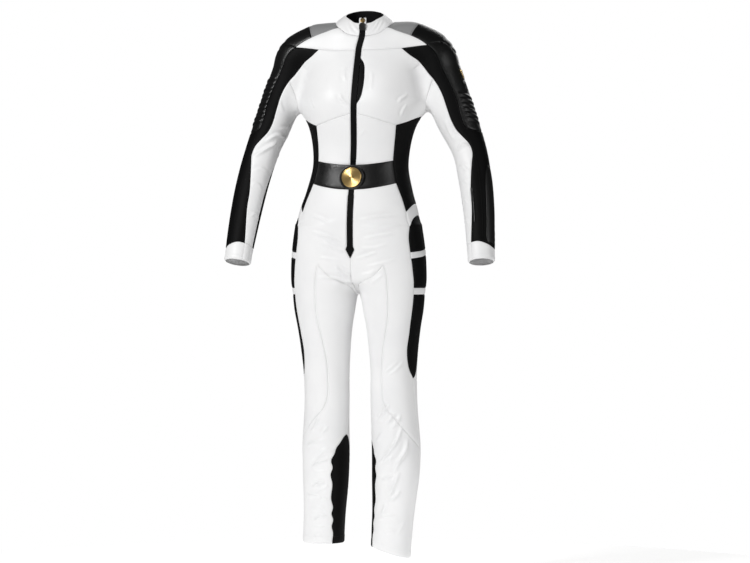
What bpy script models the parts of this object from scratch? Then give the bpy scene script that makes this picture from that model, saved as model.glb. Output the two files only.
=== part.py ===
"""Ski suit: a fitted one-piece in white shell cloth with black and grey insets.

The suit keeps the hollow form that it has when worn. One smooth form, a union of a body, two legs and
two sleeves, is worked out from short tables of sections. Every cut piece is a stretch of that form
between named seams, filled with triangles, moved onto the form and given a wall inwards. Neighbours
share their seam's points, so they meet with the same facets and a gap of 0.3 mm.

Metres, +Z up, the wearer faces -Y, the wearer's left is +X. The origin lies midway between the shoulders
at the side of the neck.
"""
import math

import bmesh
import bpy
import numpy as np
from mathutils import Matrix, Vector
from mathutils.bvhtree import BVHTree
from mathutils.geometry import delaunay_2d_cdt

WALL = 0.0018          # thickness of the cloth
LEATHER = 0.0022       # thickness of the belt and the sleeve patch
GAP = 0.0003           # between neighbours at a seam
FACET = 0.031          # length of a facet's edge
HEM = -1.432           # height of the trouser hems before each leg's own set
CUFF_END = 0.790       # length of the sleeve's axis, neck to cuff
ZIP_HALF = 0.0078      # half width of the zip's tape
BLEND_LEGS, BLEND_HIP, BLEND_ARM, BLEND_CAP = 0.030, 0.035, 0.040, 0.030
BODY_TOP, BODY_BOTTOM, LEG_TOP = -0.015, -0.705, -0.560
BODY_ROUND, LEG_ROUND = 2.3, 2.15      # powers of the sections' super-ellipses
BUST = (0.010, 0.075, -0.195, 0.045, 0.050)   # fullness cut into the bodice: depth, x, z, reach in x, z

# height, half width, depth in front, depth behind
BODY = np.array([
    (-0.020, 0.135, 0.062, 0.070),
    (-0.060, 0.142, 0.072, 0.084),
    (-0.100, 0.150, 0.090, 0.094),
    (-0.163, 0.165, 0.112, 0.100),
    (-0.223, 0.174, 0.122, 0.100),
    (-0.278, 0.147, 0.112, 0.094),
    (-0.335, 0.134, 0.099, 0.089),
    (-0.385, 0.131, 0.097, 0.090),
    (-0.450, 0.145, 0.105, 0.101),
    (-0.518, 0.165, 0.110, 0.117),
    (-0.597, 0.177, 0.108, 0.127),
    (-0.650, 0.177, 0.103, 0.125),
    (-0.720, 0.172, 0.092, 0.112),
])
# height, middle of the leg, half width, depth in front, depth behind
LEG = np.array([
    (-0.550, 0.0800, 0.0780, 0.092, 0.112),
    (-0.650, 0.0900, 0.0860, 0.097, 0.116),
    (-0.717, 0.0935, 0.0875, 0.097, 0.109),
    (-0.770, 0.0955, 0.0820, 0.092, 0.101),
    (-0.820, 0.0955, 0.0735, 0.087, 0.093),
    (-0.877, 0.0945, 0.0665, 0.080, 0.084),
    (-0.932, 0.0935, 0.0620, 0.075, 0.075),
    (-1.022, 0.0925, 0.0600, 0.069, 0.064),
    (-1.095, 0.0945, 0.0600, 0.064, 0.066),
    (-1.158, 0.0965, 0.0600, 0.060, 0.071),
    (-1.221, 0.0970, 0.0595, 0.057, 0.070),
    (-1.294, 0.0960, 0.0570, 0.055, 0.063),
    (-1.411, 0.0945, 0.0545, 0.056, 0.058),
    (-1.480, 0.0940, 0.0545, 0.057, 0.058),
])
# the sleeve's axis from the neck to the cuff: x, y, z, radius
SLEEVE = np.array([
    (0.0000, 0.010, -0.058, 0.0620),
    (0.0800, 0.012, -0.060, 0.0650),
    (0.1500, 0.012, -0.066, 0.0630),
    (0.1890, 0.012, -0.088, 0.0600),
    (0.2060, 0.012, -0.130, 0.0570),
    (0.2280, 0.012, -0.190, 0.0565),
    (0.2550, 0.010, -0.260, 0.0535),
    (0.2885, 0.000, -0.341, 0.0465),
    (0.3100, -0.022, -0.430, 0.0445),
    (0.3230, -0.043, -0.510, 0.0420),
    (0.3310, -0.064, -0.583, 0.0390),
    (0.3370, -0.083, -0.650, 0.0360),
])
# how far the suit leans to the wearer's left: height, shift in x
LEAN = np.array([(0.05, 0.0136), (-0.05, 0.0136), (-0.20, 0.0105), (-0.42, 0.0005), (-0.52, -0.0035),
                 (-0.70, -0.0035), (-0.95, 0.000), (-1.20, 0.001), (-1.48, -0.0105)])
# rim of the collar: turn from the front in degrees, x, y, z
RIM = np.array([(0, 0.0000, -0.0575, 0.0000), (8, 0.0080, -0.0570, 0.0000), (20, 0.0200, -0.0535, 0.0015),
                (42, 0.0355, -0.0420, 0.0110), (65, 0.0470, -0.0240, 0.0195), (90, 0.0520, -0.0010, 0.0267),
                (115, 0.0475, 0.0220, 0.0335), (140, 0.0350, 0.0390, 0.0390), (160, 0.0190, 0.0480, 0.0425),
                (180, 0.0000, 0.0510, 0.0436)])
# spread of the body chart, which sets how wide its facets are: height, radius
SPREAD = np.array([(-0.02, 0.11), (-0.22, 0.15), (-0.38, 0.12), (-0.55, 0.155), (-0.70, 0.10),
                   (-0.90, 0.075), (-1.48, 0.058)])


def ease(t):
    """0 below 0, 1 above 1, smooth between."""
    t = np.clip(t, 0, 1)
    return t * t * (3 - 2 * t)


def smooth_curve(t, knots, values):
    """Cubic Hermite curve through the knots, whose slopes come from the neighbouring knots."""
    slopes = np.gradient(values, knots, axis=0)
    i = np.clip(np.searchsorted(knots, t, side="right") - 1, 0, len(knots) - 2)
    h = knots[i + 1] - knots[i]
    u = np.clip((t - knots[i]) / h, 0, 1)
    if values.ndim > 1:
        u, h = u[..., None], h[..., None]
    return ((2 * u**3 - 3 * u**2 + 1) * values[i] + (u**3 - 2 * u**2 + u) * h * slopes[i]
            + (3 * u**2 - 2 * u**3) * values[i + 1] + (u**3 - u**2) * h * slopes[i + 1])


def by_height(z, table):
    """The table's other columns at height z; its first column is the height, falling."""
    return smooth_curve(-z, -table[:, 0], table[:, 1:])


def union(a, b, blend):
    """Smooth union of two distances."""
    h = np.clip(blend - np.abs(a - b), 0, None) / blend
    return np.minimum(a, b) - h * h * blend / 4


def section_distance(x, y, half_width, front, back, power):
    """Distance to a super-ellipse, along the ray from its middle."""
    depth = np.where(y < 0, front, back)
    r = np.hypot(x, y) + 1e-9
    rho = (np.abs(x / half_width)**power + np.abs(y / depth)**power)**(1 / power) + 1e-9
    return r - r / rho


def body_distance(p):
    x, y, z = p.T
    half_width, front, back = by_height(z, BODY).T
    depth, bust_x, bust_z, reach_x, reach_z = BUST
    front = front + depth * np.exp(-((np.abs(x) - bust_x) / reach_x)**2 - ((z - bust_z) / reach_z)**2)
    side = section_distance(x, y, half_width, front, back, BODY_ROUND)
    ends = np.maximum(z - BODY_TOP, BODY_BOTTOM - z)
    return -union(-side, -ends, BLEND_CAP)


def leg_distance(p, side=1):
    x, y, z = p.T
    middle, half_width, front, back = by_height(z, LEG).T
    return np.maximum(section_distance(side * x - middle, y, half_width, front, back, LEG_ROUND), z - LEG_TOP)


def lengths_along(points):
    """Distances along the smooth curve through the points."""
    knots = np.r_[0, np.cumsum(np.linalg.norm(np.diff(points, axis=0), axis=1))]
    for _ in range(2):
        t = np.linspace(0, knots[-1], 400)
        fine = smooth_curve(t, knots, points)
        run = np.r_[0, np.cumsum(np.linalg.norm(np.diff(fine, axis=0), axis=1))]
        knots = np.interp(knots, t, run)
    return knots


SLEEVE_RUN = lengths_along(SLEEVE[:, :3])
SLEEVE_LENGTH = SLEEVE_RUN[-1]
COARSE_RUN = np.linspace(0, SLEEVE_LENGTH, 61)
COARSE_AXIS = smooth_curve(COARSE_RUN, SLEEVE_RUN, SLEEVE)[:, :3]


def sleeve_axis(s):
    """Point, direction and radius of the sleeve's axis at length s."""
    at = smooth_curve(s, SLEEVE_RUN, SLEEVE)
    step = 0.002
    ahead = smooth_curve(np.clip(s + step, 0, SLEEVE_LENGTH), SLEEVE_RUN, SLEEVE)
    behind = smooth_curve(np.clip(s - step, 0, SLEEVE_LENGTH), SLEEVE_RUN, SLEEVE)
    along = (ahead - behind)[..., :3]
    along /= np.linalg.norm(along, axis=-1, keepdims=True)
    return at[..., :3], along, at[..., 3]


def nearest_on_sleeve(p):
    """Length s of the axis point nearest to p."""
    s = COARSE_RUN[((p[..., None, :] - COARSE_AXIS)**2).sum(-1).argmin(-1)]
    for _ in range(3):
        middle, along, _radius = sleeve_axis(s)
        s = np.clip(s + ((p - middle) * along).sum(-1), 0, SLEEVE_LENGTH)
    return s


def sleeve_distance(p):
    middle, _along, radius = sleeve_axis(nearest_on_sleeve(p))
    return np.linalg.norm(p - middle, axis=-1) - radius


def form(points):
    """Distance to the suit's outer face, negative inside; the two halves are alike."""
    p = points.reshape(-1, 3).copy()
    p[:, 0] = np.abs(p[:, 0])
    out = body_distance(p)
    low = p[:, 2] < -0.42
    if low.any():
        legs = union(leg_distance(p[low]), leg_distance(p[low], -1), BLEND_LEGS)
        out[low] = union(out[low], legs, BLEND_HIP)
    near = (p[:, 2] > -0.36) | (p[:, 0] > 0.21)
    if near.any():
        out[near] = union(out[near], sleeve_distance(p[near]), BLEND_ARM)
    return out.reshape(points.shape[:-1])


def outward(p):
    """Unit normals of the form at p."""
    step = 0.0015
    slope = np.stack([form(p + d) - form(p - d) for d in np.eye(3) * step], -1)
    return slope / np.linalg.norm(slope, axis=-1, keepdims=True)


def cast(origin, direction):
    """Where rays that start inside leave the form: steps by distance, then by the secant rule."""
    t = np.full(origin.shape[:-1], 0.012)
    f = form(origin + t[..., None] * direction)
    t_last, f_last = t, f
    for _ in range(11):
        t_last, f_last = t, f
        t = t + np.clip(-f, -0.05, 0.06)
        f = form(origin + t[..., None] * direction)
    for _ in range(7):
        change = f - f_last
        safe = np.abs(change) > 1e-12
        step = np.where(safe, -f * (t - t_last) / np.where(safe, change, 1), 0)
        t_last, f_last = t, f
        t = t + np.clip(step, -0.01, 0.01)
        f = form(origin + t[..., None] * direction)
    return origin + t[..., None] * direction


class Fan:
    """Level rays that fan out from an upright line: u is the turn in degrees from the front, v the height."""

    def __init__(self, x=None, y=0.0):
        self.x, self.y = x, y

    def middle(self, z):
        if self.x is not None:
            return np.full_like(z, self.x)
        return ease((-z - 0.50) / 0.20) * by_height(z, LEG)[..., 0]

    def spread(self, z):
        return np.interp(-z, -SPREAD[:, 0], SPREAD[:, 1])

    def point(self, u, z):
        turn = np.radians(u)
        origin = np.stack([self.middle(z), np.full_like(z, self.y), z], -1)
        return cast(origin, np.stack([np.sin(turn), -np.cos(turn), np.zeros_like(z)], -1))

    def coords(self, p):
        return np.degrees(np.arctan2(p[..., 0] - self.middle(p[..., 2]), self.y - p[..., 1])), p[..., 2]

    def values(self, p):
        u, z = self.coords(p[None])
        return u[0], z[0]

    def flat(self, u, z):
        return np.radians(u) * self.spread(z), z

    def unflat(self, a, b):
        return np.degrees(a / self.spread(b)), b


class Sleeve:
    """Rays square to the sleeve's axis: u is the turn in degrees from the front, outwards, v the length."""

    def square(self, s):
        middle, along, radius = sleeve_axis(s)
        front = np.array([0, -1.0, 0]) + along * along[..., 1:2]
        front /= np.linalg.norm(front, axis=-1, keepdims=True)
        return middle, front, np.cross(front, along), radius

    def point(self, u, s):
        middle, front, out, _radius = self.square(s)
        turn = np.radians(u)[..., None]
        return cast(middle, np.cos(turn) * front + np.sin(turn) * out)

    def values(self, p):
        u, s = self.coords(p[None])
        return u[0], s[0]

    def coords(self, p):
        s = nearest_on_sleeve(p)
        middle, front, out, _radius = self.square(s)
        return np.degrees(np.arctan2(((p - middle) * out).sum(-1), ((p - middle) * front).sum(-1))), s

    def flat(self, u, s):
        return np.radians(u) * self.square(s)[3], s

    def unflat(self, a, b):
        return np.degrees(a / self.square(b)[3]), b


class Straight:
    """Rays straight forward: u is x, v the height."""

    def values(self, p):
        return p[0], p[2]

    def coords(self, p):
        return p[..., 0], p[..., 2]

    def flat(self, u, v):
        return u, v

    unflat = flat

    def point(self, u, v):
        origin = np.stack([u, np.full_like(u, 0.005), v], -1)
        return cast(origin, np.broadcast_to(np.array([0, -1.0, 0]), origin.shape))


class Ring:
    """Rays in upright planes: u is the turn in degrees from the front, downwards, v is x."""

    def __init__(self, y, z):
        self.y, self.z = y, z

    def values(self, p):
        turn = math.degrees(math.atan2(self.z - p[2], self.y - p[1]))
        return (turn + 90) % 360 - 90, p[0]

    def point(self, u, v):
        turn = np.radians(u)
        origin = np.stack([v, np.full_like(v, self.y), np.full_like(v, self.z)], -1)
        return cast(origin, np.stack([np.zeros_like(v), -np.cos(turn), -np.sin(turn)], -1))


class Neck:
    """Rays from a point in the neck: u is the turn in degrees from the front, v the climb in degrees."""

    def values(self, p):
        return (math.degrees(math.atan2(p[0], -p[1])),
                math.degrees(math.atan2(p[2] + 0.085, math.hypot(p[0], p[1]))))

    def point(self, u, v):
        turn, climb = np.radians(u), np.radians(v)
        origin = np.zeros(u.shape + (3,)) + np.array([0, 0, -0.085])
        return cast(origin, np.stack([np.sin(turn) * np.cos(climb), -np.cos(turn) * np.cos(climb),
                                      np.sin(climb)], -1))


CHARTS = {"body": Fan(), "chest": Fan(0.07, 0.02), "back": Fan(0.06, -0.01), "sleeve": Sleeve(),
          "front": Straight(), "armhole": Ring(0.012, -0.14), "crotch": Ring(0.0, -0.60), "neck": Neck()}

# corners where seams meet: chart, then its two values
CORNERS = {
    "neck_zip": ("front", ZIP_HALF, -0.0365),
    "neck_grey_front": ("neck", 52.9, 41.6),
    "neck_grey_back": ("neck", 125.0, 47.0),
    "neck_back": ("neck", 180.0, 41.0),
    "grey_front": ("sleeve", 24.0, 0.134),
    "grey_back": ("sleeve", 150.0, 0.136),
    "star": ("sleeve", 16.0, 0.176),
    "cap_back": ("sleeve", 160.0, 0.178),
    "notch": ("front", 0.115, -0.070),
    "yoke_zip": ("front", ZIP_HALF, -0.0735),
    "armhole_front": ("armhole", 14.0, 0.200),
    "armpit": ("armhole", 90.0, 0.175),
    "armhole_back": ("armhole", 143.0, 0.189),
    "underbust_zip": ("front", ZIP_HALF, -0.248),
    "side_top": ("body", 90.0, -0.252),
    "side_front": ("body", 53.5, -0.2785),
    "side_back": ("body", 126.0, -0.279),
    "belt_top_zip": ("front", ZIP_HALF, -0.3855),
    "belt_top_middle": ("front", 0.0, -0.386),
    "belt_top_side": ("body", 57.7, -0.3733),
    "belt_low_zip": ("front", ZIP_HALF, -0.4515),
    "belt_low_middle": ("front", 0.0, -0.452),
    "belt_low_side": ("body", 60.0, -0.434),
    "side_low_front": ("body", 67.5, -0.511),
    "side_low_back": ("body", 116.0, -0.505),
    "waist_side_back": ("body", 121.0, -0.405),
    "waist_back": ("body", 180.0, -0.415),
    "keyhole_top": ("front", ZIP_HALF, -0.0955),
    "keyhole_low": ("front", ZIP_HALF, -0.2235),
    "zip_foot": ("front", ZIP_HALF, -0.604),
    "zip_barb": ("front", 0.0118, -0.613),
    "zip_point": ("front", 0.0, -0.636),
    "crotch": ("crotch", 92.0, 0.0),
    "thigh_a_front": ("body", 66.5, -0.5504),
    "thigh_a_back": ("body", 126.0, -0.553),
    "thigh_a_low_front": ("body", 56.0, -0.6205),
    "thigh_a_low_back": ("body", 131.0, -0.617),
    "thigh_b_front": ("body", 53.7, -0.6375),
    "thigh_b_back": ("body", 132.0, -0.633),
    "thigh_b_low_front": ("body", 49.9, -0.7165),
    "thigh_b_low_back": ("body", 131.0, -0.7165),
    "thigh_c_front": ("body", 50.1, -0.734),
    "thigh_c_back": ("body", 130.0, -0.734),
    "thigh_tip": ("body", 72.0, -0.962),
    "princess_top": ("body", 6.5, -0.655),
    "princess_end": ("body", 86.0, -1.150),
    "knee_inner": ("body", -90.0, -0.958),
    "calf_top": ("body", -88.0, -1.115),
    "calf_hem_front": ("body", -55.0, HEM),
    "calf_hem_back": ("body", 225.0, HEM),
    "hem_side": ("body", 86.0, HEM),
    "patch_foot": ("sleeve", 95.0, 0.437),
    "cuff_front": ("sleeve", -34.0, 0.742),
    "cuff_side": ("sleeve", 95.0, 0.757),
    "cuff_inner": ("sleeve", -82.0, 0.745),
    "cuff_end_front": ("sleeve", -34.0, CUFF_END),
}

# seams: from, to, chart, then the points that the seam passes between its corners
SEAMS = {
    "neck_front": ("neck_zip", "neck_grey_front", "neck", ((18.9, 35.3), (32.5, 35.9), (45.8, 39.8))),
    "neck_side": ("neck_grey_front", "neck_grey_back", "neck", ((73, 46.5), (93.7, 49.8), (110, 49.3))),
    "neck_rear": ("neck_grey_back", "neck_back", "neck", ((145, 43.8), (162, 41.6))),
    "grey_front": ("neck_grey_front", "grey_front", "sleeve", ((30.5, 0.100),)),
    "grey_outer": ("grey_front", "grey_back", "sleeve", ((60, 0.139), (90, 0.140), (120, 0.139))),
    "grey_rear": ("neck_grey_back", "grey_back", "sleeve", ((141, 0.100),)),
    "yoke_outer": ("grey_front", "star", "sleeve", ((21.5, 0.147), (19.0, 0.163))),
    "cap_rear": ("grey_back", "cap_back", "sleeve", ((155, 0.157),)),
    "cap_outer": ("star", "cap_back", "sleeve", ((34, 0.186), (64, 0.199), (95, 0.204), (130, 0.197))),
    "star_low": ("star", "notch", "front", ((0.147, -0.0655),)),
    "yoke": ("notch", "yoke_zip", "front", ((0.060, -0.0735),)),
    "zip_a": ("neck_zip", "yoke_zip", "front", ()),
    "zip_b1": ("yoke_zip", "keyhole_top", "front", ()),
    "zip_b2": ("keyhole_top", "keyhole_low", "front", ()),
    "zip_b3": ("keyhole_low", "underbust_zip", "front", ()),
    "zip_c": ("underbust_zip", "belt_top_zip", "front", ()),
    "zip_d": ("belt_low_zip", "zip_foot", "front", ()),
    "zip_e": ("zip_foot", "zip_barb", "front", ()),
    "zip_f": ("zip_barb", "zip_point", "front", ()),
    "keyhole": ("keyhole_top", "keyhole_low", "front",
                ((0.0190, -0.112), (0.0235, -0.140), (0.0230, -0.178), (0.0178, -0.206))),
    "front_centre": ("zip_point", "crotch", "crotch", ((25, 0.0), (45, 0.0), (68, 0.0))),
    "chest_edge": ("notch", "armhole_front", "front",
                   ((0.137, -0.0885), (0.158, -0.104), (0.1745, -0.1235), (0.185, -0.137))),
    "armhole_low": ("armhole_front", "armpit", "armhole", ((37, 0.190), (54, 0.182), (72, 0.177))),
    "armhole_rear": ("armpit", "armhole_back", "armhole", ((108, 0.177), (126, 0.182))),
    "armhole_up": ("armhole_back", "cap_back", "armhole", ((170, 0.191), (195, 0.188), (218, 0.181))),
    "side": ("armpit", "side_top", "body", ()),
    "side_top_front": ("side_front", "side_top", "body", ((66, -0.269), (78, -0.259))),
    "side_top_rear": ("side_top", "side_back", "body", ((102, -0.258), (114, -0.268))),
    "underbust": ("side_front", "underbust_zip", "front", ((0.075, -0.268), (0.040, -0.257))),
    "side_a": ("side_front", "belt_top_side", "body", ((56.0, -0.310), (57.5, -0.345))),
    "side_b": ("belt_top_side", "belt_low_side", "body", ((59.0, -0.405),)),
    "side_c": ("belt_low_side", "side_low_front", "body", ((64.6, -0.4695),)),
    "side_d": ("side_low_front", "side_low_back", "body", ((75, -0.4985), (90, -0.488), (103, -0.491))),
    "side_e": ("side_back", "waist_side_back", "body", ((123, -0.330),)),
    "side_f": ("waist_side_back", "side_low_back", "body", ((119, -0.455),)),
    "belt_top": ("belt_top_side", "belt_top_zip", "body", ((40, -0.3795), (20, -0.384))),
    "belt_top_end": ("belt_top_zip", "belt_top_middle", "front", ()),
    "belt_low": ("belt_low_side", "belt_low_zip", "body", ((42, -0.443), (20, -0.450))),
    "belt_low_end": ("belt_low_zip", "belt_low_middle", "front", ()),
    "belt_middle": ("belt_top_middle", "belt_low_middle", "front", ()),
    "waist_rear": ("waist_side_back", "waist_back", "body", ((150, -0.412),)),
    "back_centre": ("neck_back", "waist_back", "body", ((180, -0.060), (180, -0.2))),
    "seat_centre": ("waist_back", "crotch", "crotch", ((192, 0.0), (170, 0.0), (145, 0.0), (115, 0.0))),
    "hip_front": ("side_low_front", "thigh_a_front", "body", ()),
    "thigh_a_top": ("thigh_a_front", "thigh_a_back", "body", ((76.4, -0.5286), (94.7, -0.519), (112, -0.530))),
    "thigh_a_fore": ("thigh_a_front", "thigh_a_low_front", "body", ((61.6, -0.5774),)),
    "thigh_a_rear": ("thigh_a_back", "thigh_a_low_back", "body", ((129.5, -0.580),)),
    "thigh_a_low": ("thigh_a_low_front", "thigh_a_low_back", "body", ((78, -0.616), (100, -0.611))),
    "band_a_front": ("thigh_a_low_front", "thigh_b_front", "body", ()),
    "thigh_b_top": ("thigh_b_front", "thigh_b_back", "body", ((78, -0.632), (101, -0.627))),
    "thigh_b_fore": ("thigh_b_front", "thigh_b_low_front", "body", ((49.8, -0.680),)),
    "thigh_b_rear": ("thigh_b_back", "thigh_b_low_back", "body", ()),
    "thigh_b_low": ("thigh_b_low_front", "thigh_b_low_back", "body", ()),
    "band_b_front": ("thigh_b_low_front", "thigh_c_front", "body", ()),
    "thigh_c_top": ("thigh_c_front", "thigh_c_back", "body", ()),
    "thigh_c_fore": ("thigh_c_front", "thigh_tip", "body",
                     ((47.6, -0.783), (44.6, -0.840), (42.0, -0.890), (44.5, -0.910), (53.0, -0.938))),
    "thigh_c_rear": ("thigh_c_back", "thigh_tip", "body",
                     ((126, -0.800), (118, -0.870), (105, -0.925), (89, -0.952))),
    "outer_seam": ("thigh_tip", "princess_end", "body", ((78, -1.020), (84, -1.090))),
    "outer_low": ("princess_end", "hem_side", "body", ()),
    "lap": ("crotch", "princess_top", "body",
            ((-87, -0.7350), (-80, -0.7327), (-70, -0.7255), (-62, -0.7192), (-55.3, -0.7145), (-41.4, -0.7065),
             (-31.2, -0.6975), (-19.5, -0.6880))),
    "princess": ("princess_top", "princess_end", "body",
                 ((4.5, -0.683), (3.5, -0.730), (3.0, -0.769), (0.3, -0.8076), (-5.3, -0.849),
                  (-11.2, -0.891), (-14.8, -0.935), (-15.5, -0.975), (-13.0, -1.016), (-6.0, -1.040),
                  (11.0, -1.066), (31.7, -1.0946), (60.0, -1.128))),
    "inner_seam": ("crotch", "knee_inner", "body", ((-90, -0.765), (-90, -0.900))),
    "inner_low": ("knee_inner", "calf_top", "body", ((-89, -1.000),)),
    "knee_rear": ("thigh_tip", "knee_inner", "body", ((118, -0.968), (180, -0.974), (235, -0.966))),
    "calf_fore": ("calf_top", "calf_hem_front", "body",
                  ((-77, -1.120), (-67, -1.138), (-54, -1.155), (-47, -1.178), (-46, -1.210),
                   (-47, -1.260), (-50, -1.310), (-53, -1.365))),
    "calf_rear": ("calf_top", "calf_hem_back", "body",
                  ((-100, -1.120), (-118, -1.140), (-130, -1.170), (-134, -1.230), (-135, -1.330))),
    "hem_fore": ("calf_hem_front", "hem_side", "body", ((0, HEM),)),
    "hem_rear": ("hem_side", "calf_hem_back", "body", ((130, HEM), (180, HEM))),
    "hem_calf": ("calf_hem_front", "calf_hem_back", "body", ((-90, HEM),)),
    "patch_fore": ("star", "patch_foot", "sleeve",
                   ((16.0, 0.200), (20.0, 0.250), (26.5, 0.310), (27.0, 0.350), (22.0, 0.390),
                    (24.0, 0.418), (50.0, 0.434))),
    "patch_rear": ("cap_back", "patch_foot", "sleeve",
                   ((160, 0.220), (157, 0.300), (155, 0.370), (153, 0.412), (130, 0.432))),
    "sleeve_edge": ("armhole_front", "cuff_front", "sleeve",
                    ((-8.5, 0.284), (-6.0, 0.305), (-7.5, 0.348), (-10.0, 0.388), (-7.0, 0.418),
                     (3.0, 0.443), (15.5, 0.470), (17.5, 0.493), (8.0, 0.522), (-2.0, 0.555),
                     (-12.5, 0.600), (-15.5, 0.640), (-25.0, 0.695))),
    "sleeve_rear": ("armhole_back", "cuff_inner", "sleeve",
                    ((-160, 0.300), (-150, 0.360), (-138, 0.420), (-110, 0.485), (-88, 0.540),
                     (-80, 0.600), (-80, 0.670))),
    "sleeve_outer": ("patch_foot", "cuff_side", "sleeve", ((95, 0.600),)),
    "cuff_a": ("cuff_front", "cuff_side", "sleeve", ((-4, 0.7415), (37, 0.749), (75, 0.756))),
    "cuff_b": ("cuff_side", "cuff_inner", "sleeve", ((140, 0.756), (190, 0.753), (240, 0.748))),
    "cuff_c": ("cuff_inner", "cuff_front", "sleeve", ((-60, 0.743),)),
    "cuff_slit": ("cuff_front", "cuff_end_front", "sleeve", ()),
    "cuff_rim": ("cuff_end_front", "cuff_end_front", "sleeve",
                 ((30, CUFF_END), (95, CUFF_END), (160, CUFF_END), (225, CUFF_END), (280, CUFF_END))),
}

# pieces of one half: chart that they are filled in, finish, wall, sides, then the seams round them in order
PIECES = {
    "yoke_front": ("chest", "white", WALL, "LR", "neck_front grey_front yoke_outer star_low yoke zip_a"),
    "shoulder_insert": ("sleeve", "grey", WALL, "LR", "neck_side grey_rear grey_outer grey_front"),
    "shoulder_cap": ("sleeve", "leather", WALL, "LR", "grey_outer cap_rear cap_outer yoke_outer"),
    "chest_front_L": ("chest", "white", WALL, "L",
                      "chest_edge armhole_low side side_top_front underbust zip_b3 keyhole zip_b1 yoke"),
    "chest_front_R": ("chest", "white", WALL, "R",
                      "chest_edge armhole_low side side_top_front underbust zip_b3 zip_b2 zip_b1 yoke"),
    "underlap": ("front", "black", WALL, "L", "keyhole zip_b2"),
    "waist_front": ("body", "white", WALL, "LR", "side_a belt_top zip_c underbust"),
    "side_body": ("body", "black", WALL, "LR",
                  "side_top_front side_top_rear side_e side_f side_d side_c side_b side_a"),
    "belt": ("body", "leather", LEATHER, "LR",
             "belt_top belt_top_end belt_middle belt_low_end belt_low side_b"),
    "back_bodice": ("back", "white", WALL, "LR",
                    "neck_rear back_centre waist_rear side_e side_top_rear side armhole_rear armhole_up"
                    " cap_rear grey_rear"),
    "leg_front": ("body", "white", WALL, "LR",
                  "belt_low side_c hip_front thigh_a_fore band_a_front thigh_b_fore band_b_front"
                  " thigh_c_fore outer_seam princess lap front_centre zip_f zip_e zip_d"),
    "leg_inner": ("body", "white", WALL, "LR",
                  "lap princess outer_low hem_fore calf_fore inner_low inner_seam"),
    "leg_back": ("body", "white", WALL, "LR",
                 "waist_rear seat_centre inner_seam knee_rear thigh_c_rear thigh_c_top band_b_front"
                 " thigh_b_low thigh_b_rear thigh_b_top band_a_front thigh_a_low thigh_a_rear thigh_a_top"
                 " hip_front side_d side_f"),
    "calf_back": ("body", "white", WALL, "LR", "knee_rear inner_low calf_rear hem_rear outer_low outer_seam"),
    "calf_inner": ("body", "black", WALL, "LR", "calf_fore hem_calf calf_rear"),
    "thigh_a": ("body", "black", WALL, "LR", "thigh_a_top thigh_a_rear thigh_a_low thigh_a_fore"),
    "thigh_b": ("body", "black", WALL, "LR", "thigh_b_top thigh_b_rear thigh_b_low thigh_b_fore"),
    "thigh_c": ("body", "black", WALL, "LR", "thigh_c_top thigh_c_rear thigh_c_fore"),
    "sleeve_patch": ("sleeve", "leather", LEATHER, "LR", "cap_outer patch_rear patch_fore"),
    "sleeve_front": ("sleeve", "black", WALL, "LR",
                     "patch_fore sleeve_outer cuff_a sleeve_edge chest_edge star_low"),
    "sleeve_under": ("sleeve", "white", WALL, "LR",
                     "sleeve_edge cuff_c sleeve_rear armhole_rear armhole_low"),
    "sleeve_back": ("sleeve", "black", WALL, "LR", "patch_rear sleeve_outer cuff_b sleeve_rear armhole_up"),
    "cuff": ("sleeve", "white", WALL, "LR", "cuff_a cuff_b cuff_c cuff_slit cuff_rim cuff_slit"),
}

# quilted ribs across the sleeve patch: turns between which they run, lengths along the sleeve, number
QUILT = {"L": (46, 92, 0.326, 0.413, 8), "R": (36, 84, 0.268, 0.411, 13)}
QUILT_HIGH = 0.0024      # height of a rib
QUILT_SLANT = 0.020      # how far a rib falls from the sleeve's front to its outer side

# colour, roughness, metallic
FINISHES = {
    "white": ((0.86, 0.86, 0.87), 0.55, 0.0),
    "black": ((0.012, 0.012, 0.014), 0.75, 0.0),
    "leather": ((0.015, 0.015, 0.017), 0.38, 0.0),
    "grey": ((0.30, 0.30, 0.31), 0.50, 0.0),
    "gold": ((0.75, 0.55, 0.28), 0.28, 1.0),
    "rubber": ((0.02, 0.02, 0.02), 0.50, 0.0),
}


def clear_scene():
    for thing in list(bpy.data.objects):
        bpy.data.objects.remove(thing, do_unlink=True)


def finish(name):
    colour, roughness, metallic = FINISHES[name]
    material = bpy.data.materials.get(name) or bpy.data.materials.new(name)
    material.use_nodes = True
    shader = material.node_tree.nodes["Principled BSDF"]
    shader.inputs["Base Color"].default_value = (*colour, 1)
    shader.inputs["Roughness"].default_value = roughness
    shader.inputs["Metallic"].default_value = metallic
    return material


def pose(points):
    """The suit as it stands: hems set leg by leg, the right calf turned out, the neck turned, the lean."""
    x, y, z = points.T.copy()
    low = ease((-z - 1.20) / 0.23)
    z = z + low * np.where(x < 0, 0.021, np.interp(x, (0.05, 0.15), (0.013, -0.018)))
    middle = -by_height(z, LEG)[:, 0]
    turn = np.radians(-17.0) * ease((-z - 1.02) / 0.16) * (x < 0)
    dx = x - middle
    x, y = np.where(x < 0, middle + dx * np.cos(turn) - y * np.sin(turn), x), dx * np.sin(turn) + y * np.cos(turn)
    turn = np.radians(6.5) * ease((z + 0.075) / 0.05) * (1 - ease((np.hypot(x, y) - 0.075) / 0.05))
    x, y = x * np.cos(turn) - y * np.sin(turn), x * np.sin(turn) + y * np.cos(turn)
    lean = by_height(z, LEAN)[:, 0]
    on_arm = np.clip((np.abs(x) - 0.20) / 0.05, 0, 1) * (z > -0.75)
    return np.stack([x + lean + (LEAN[0, 1] - lean) * on_arm, y, z], -1)


def corner(name):
    chart, u, v = CORNERS[name]
    return CHARTS[chart].point(np.array([float(u)]), np.array([float(v)]))[0]


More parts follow.
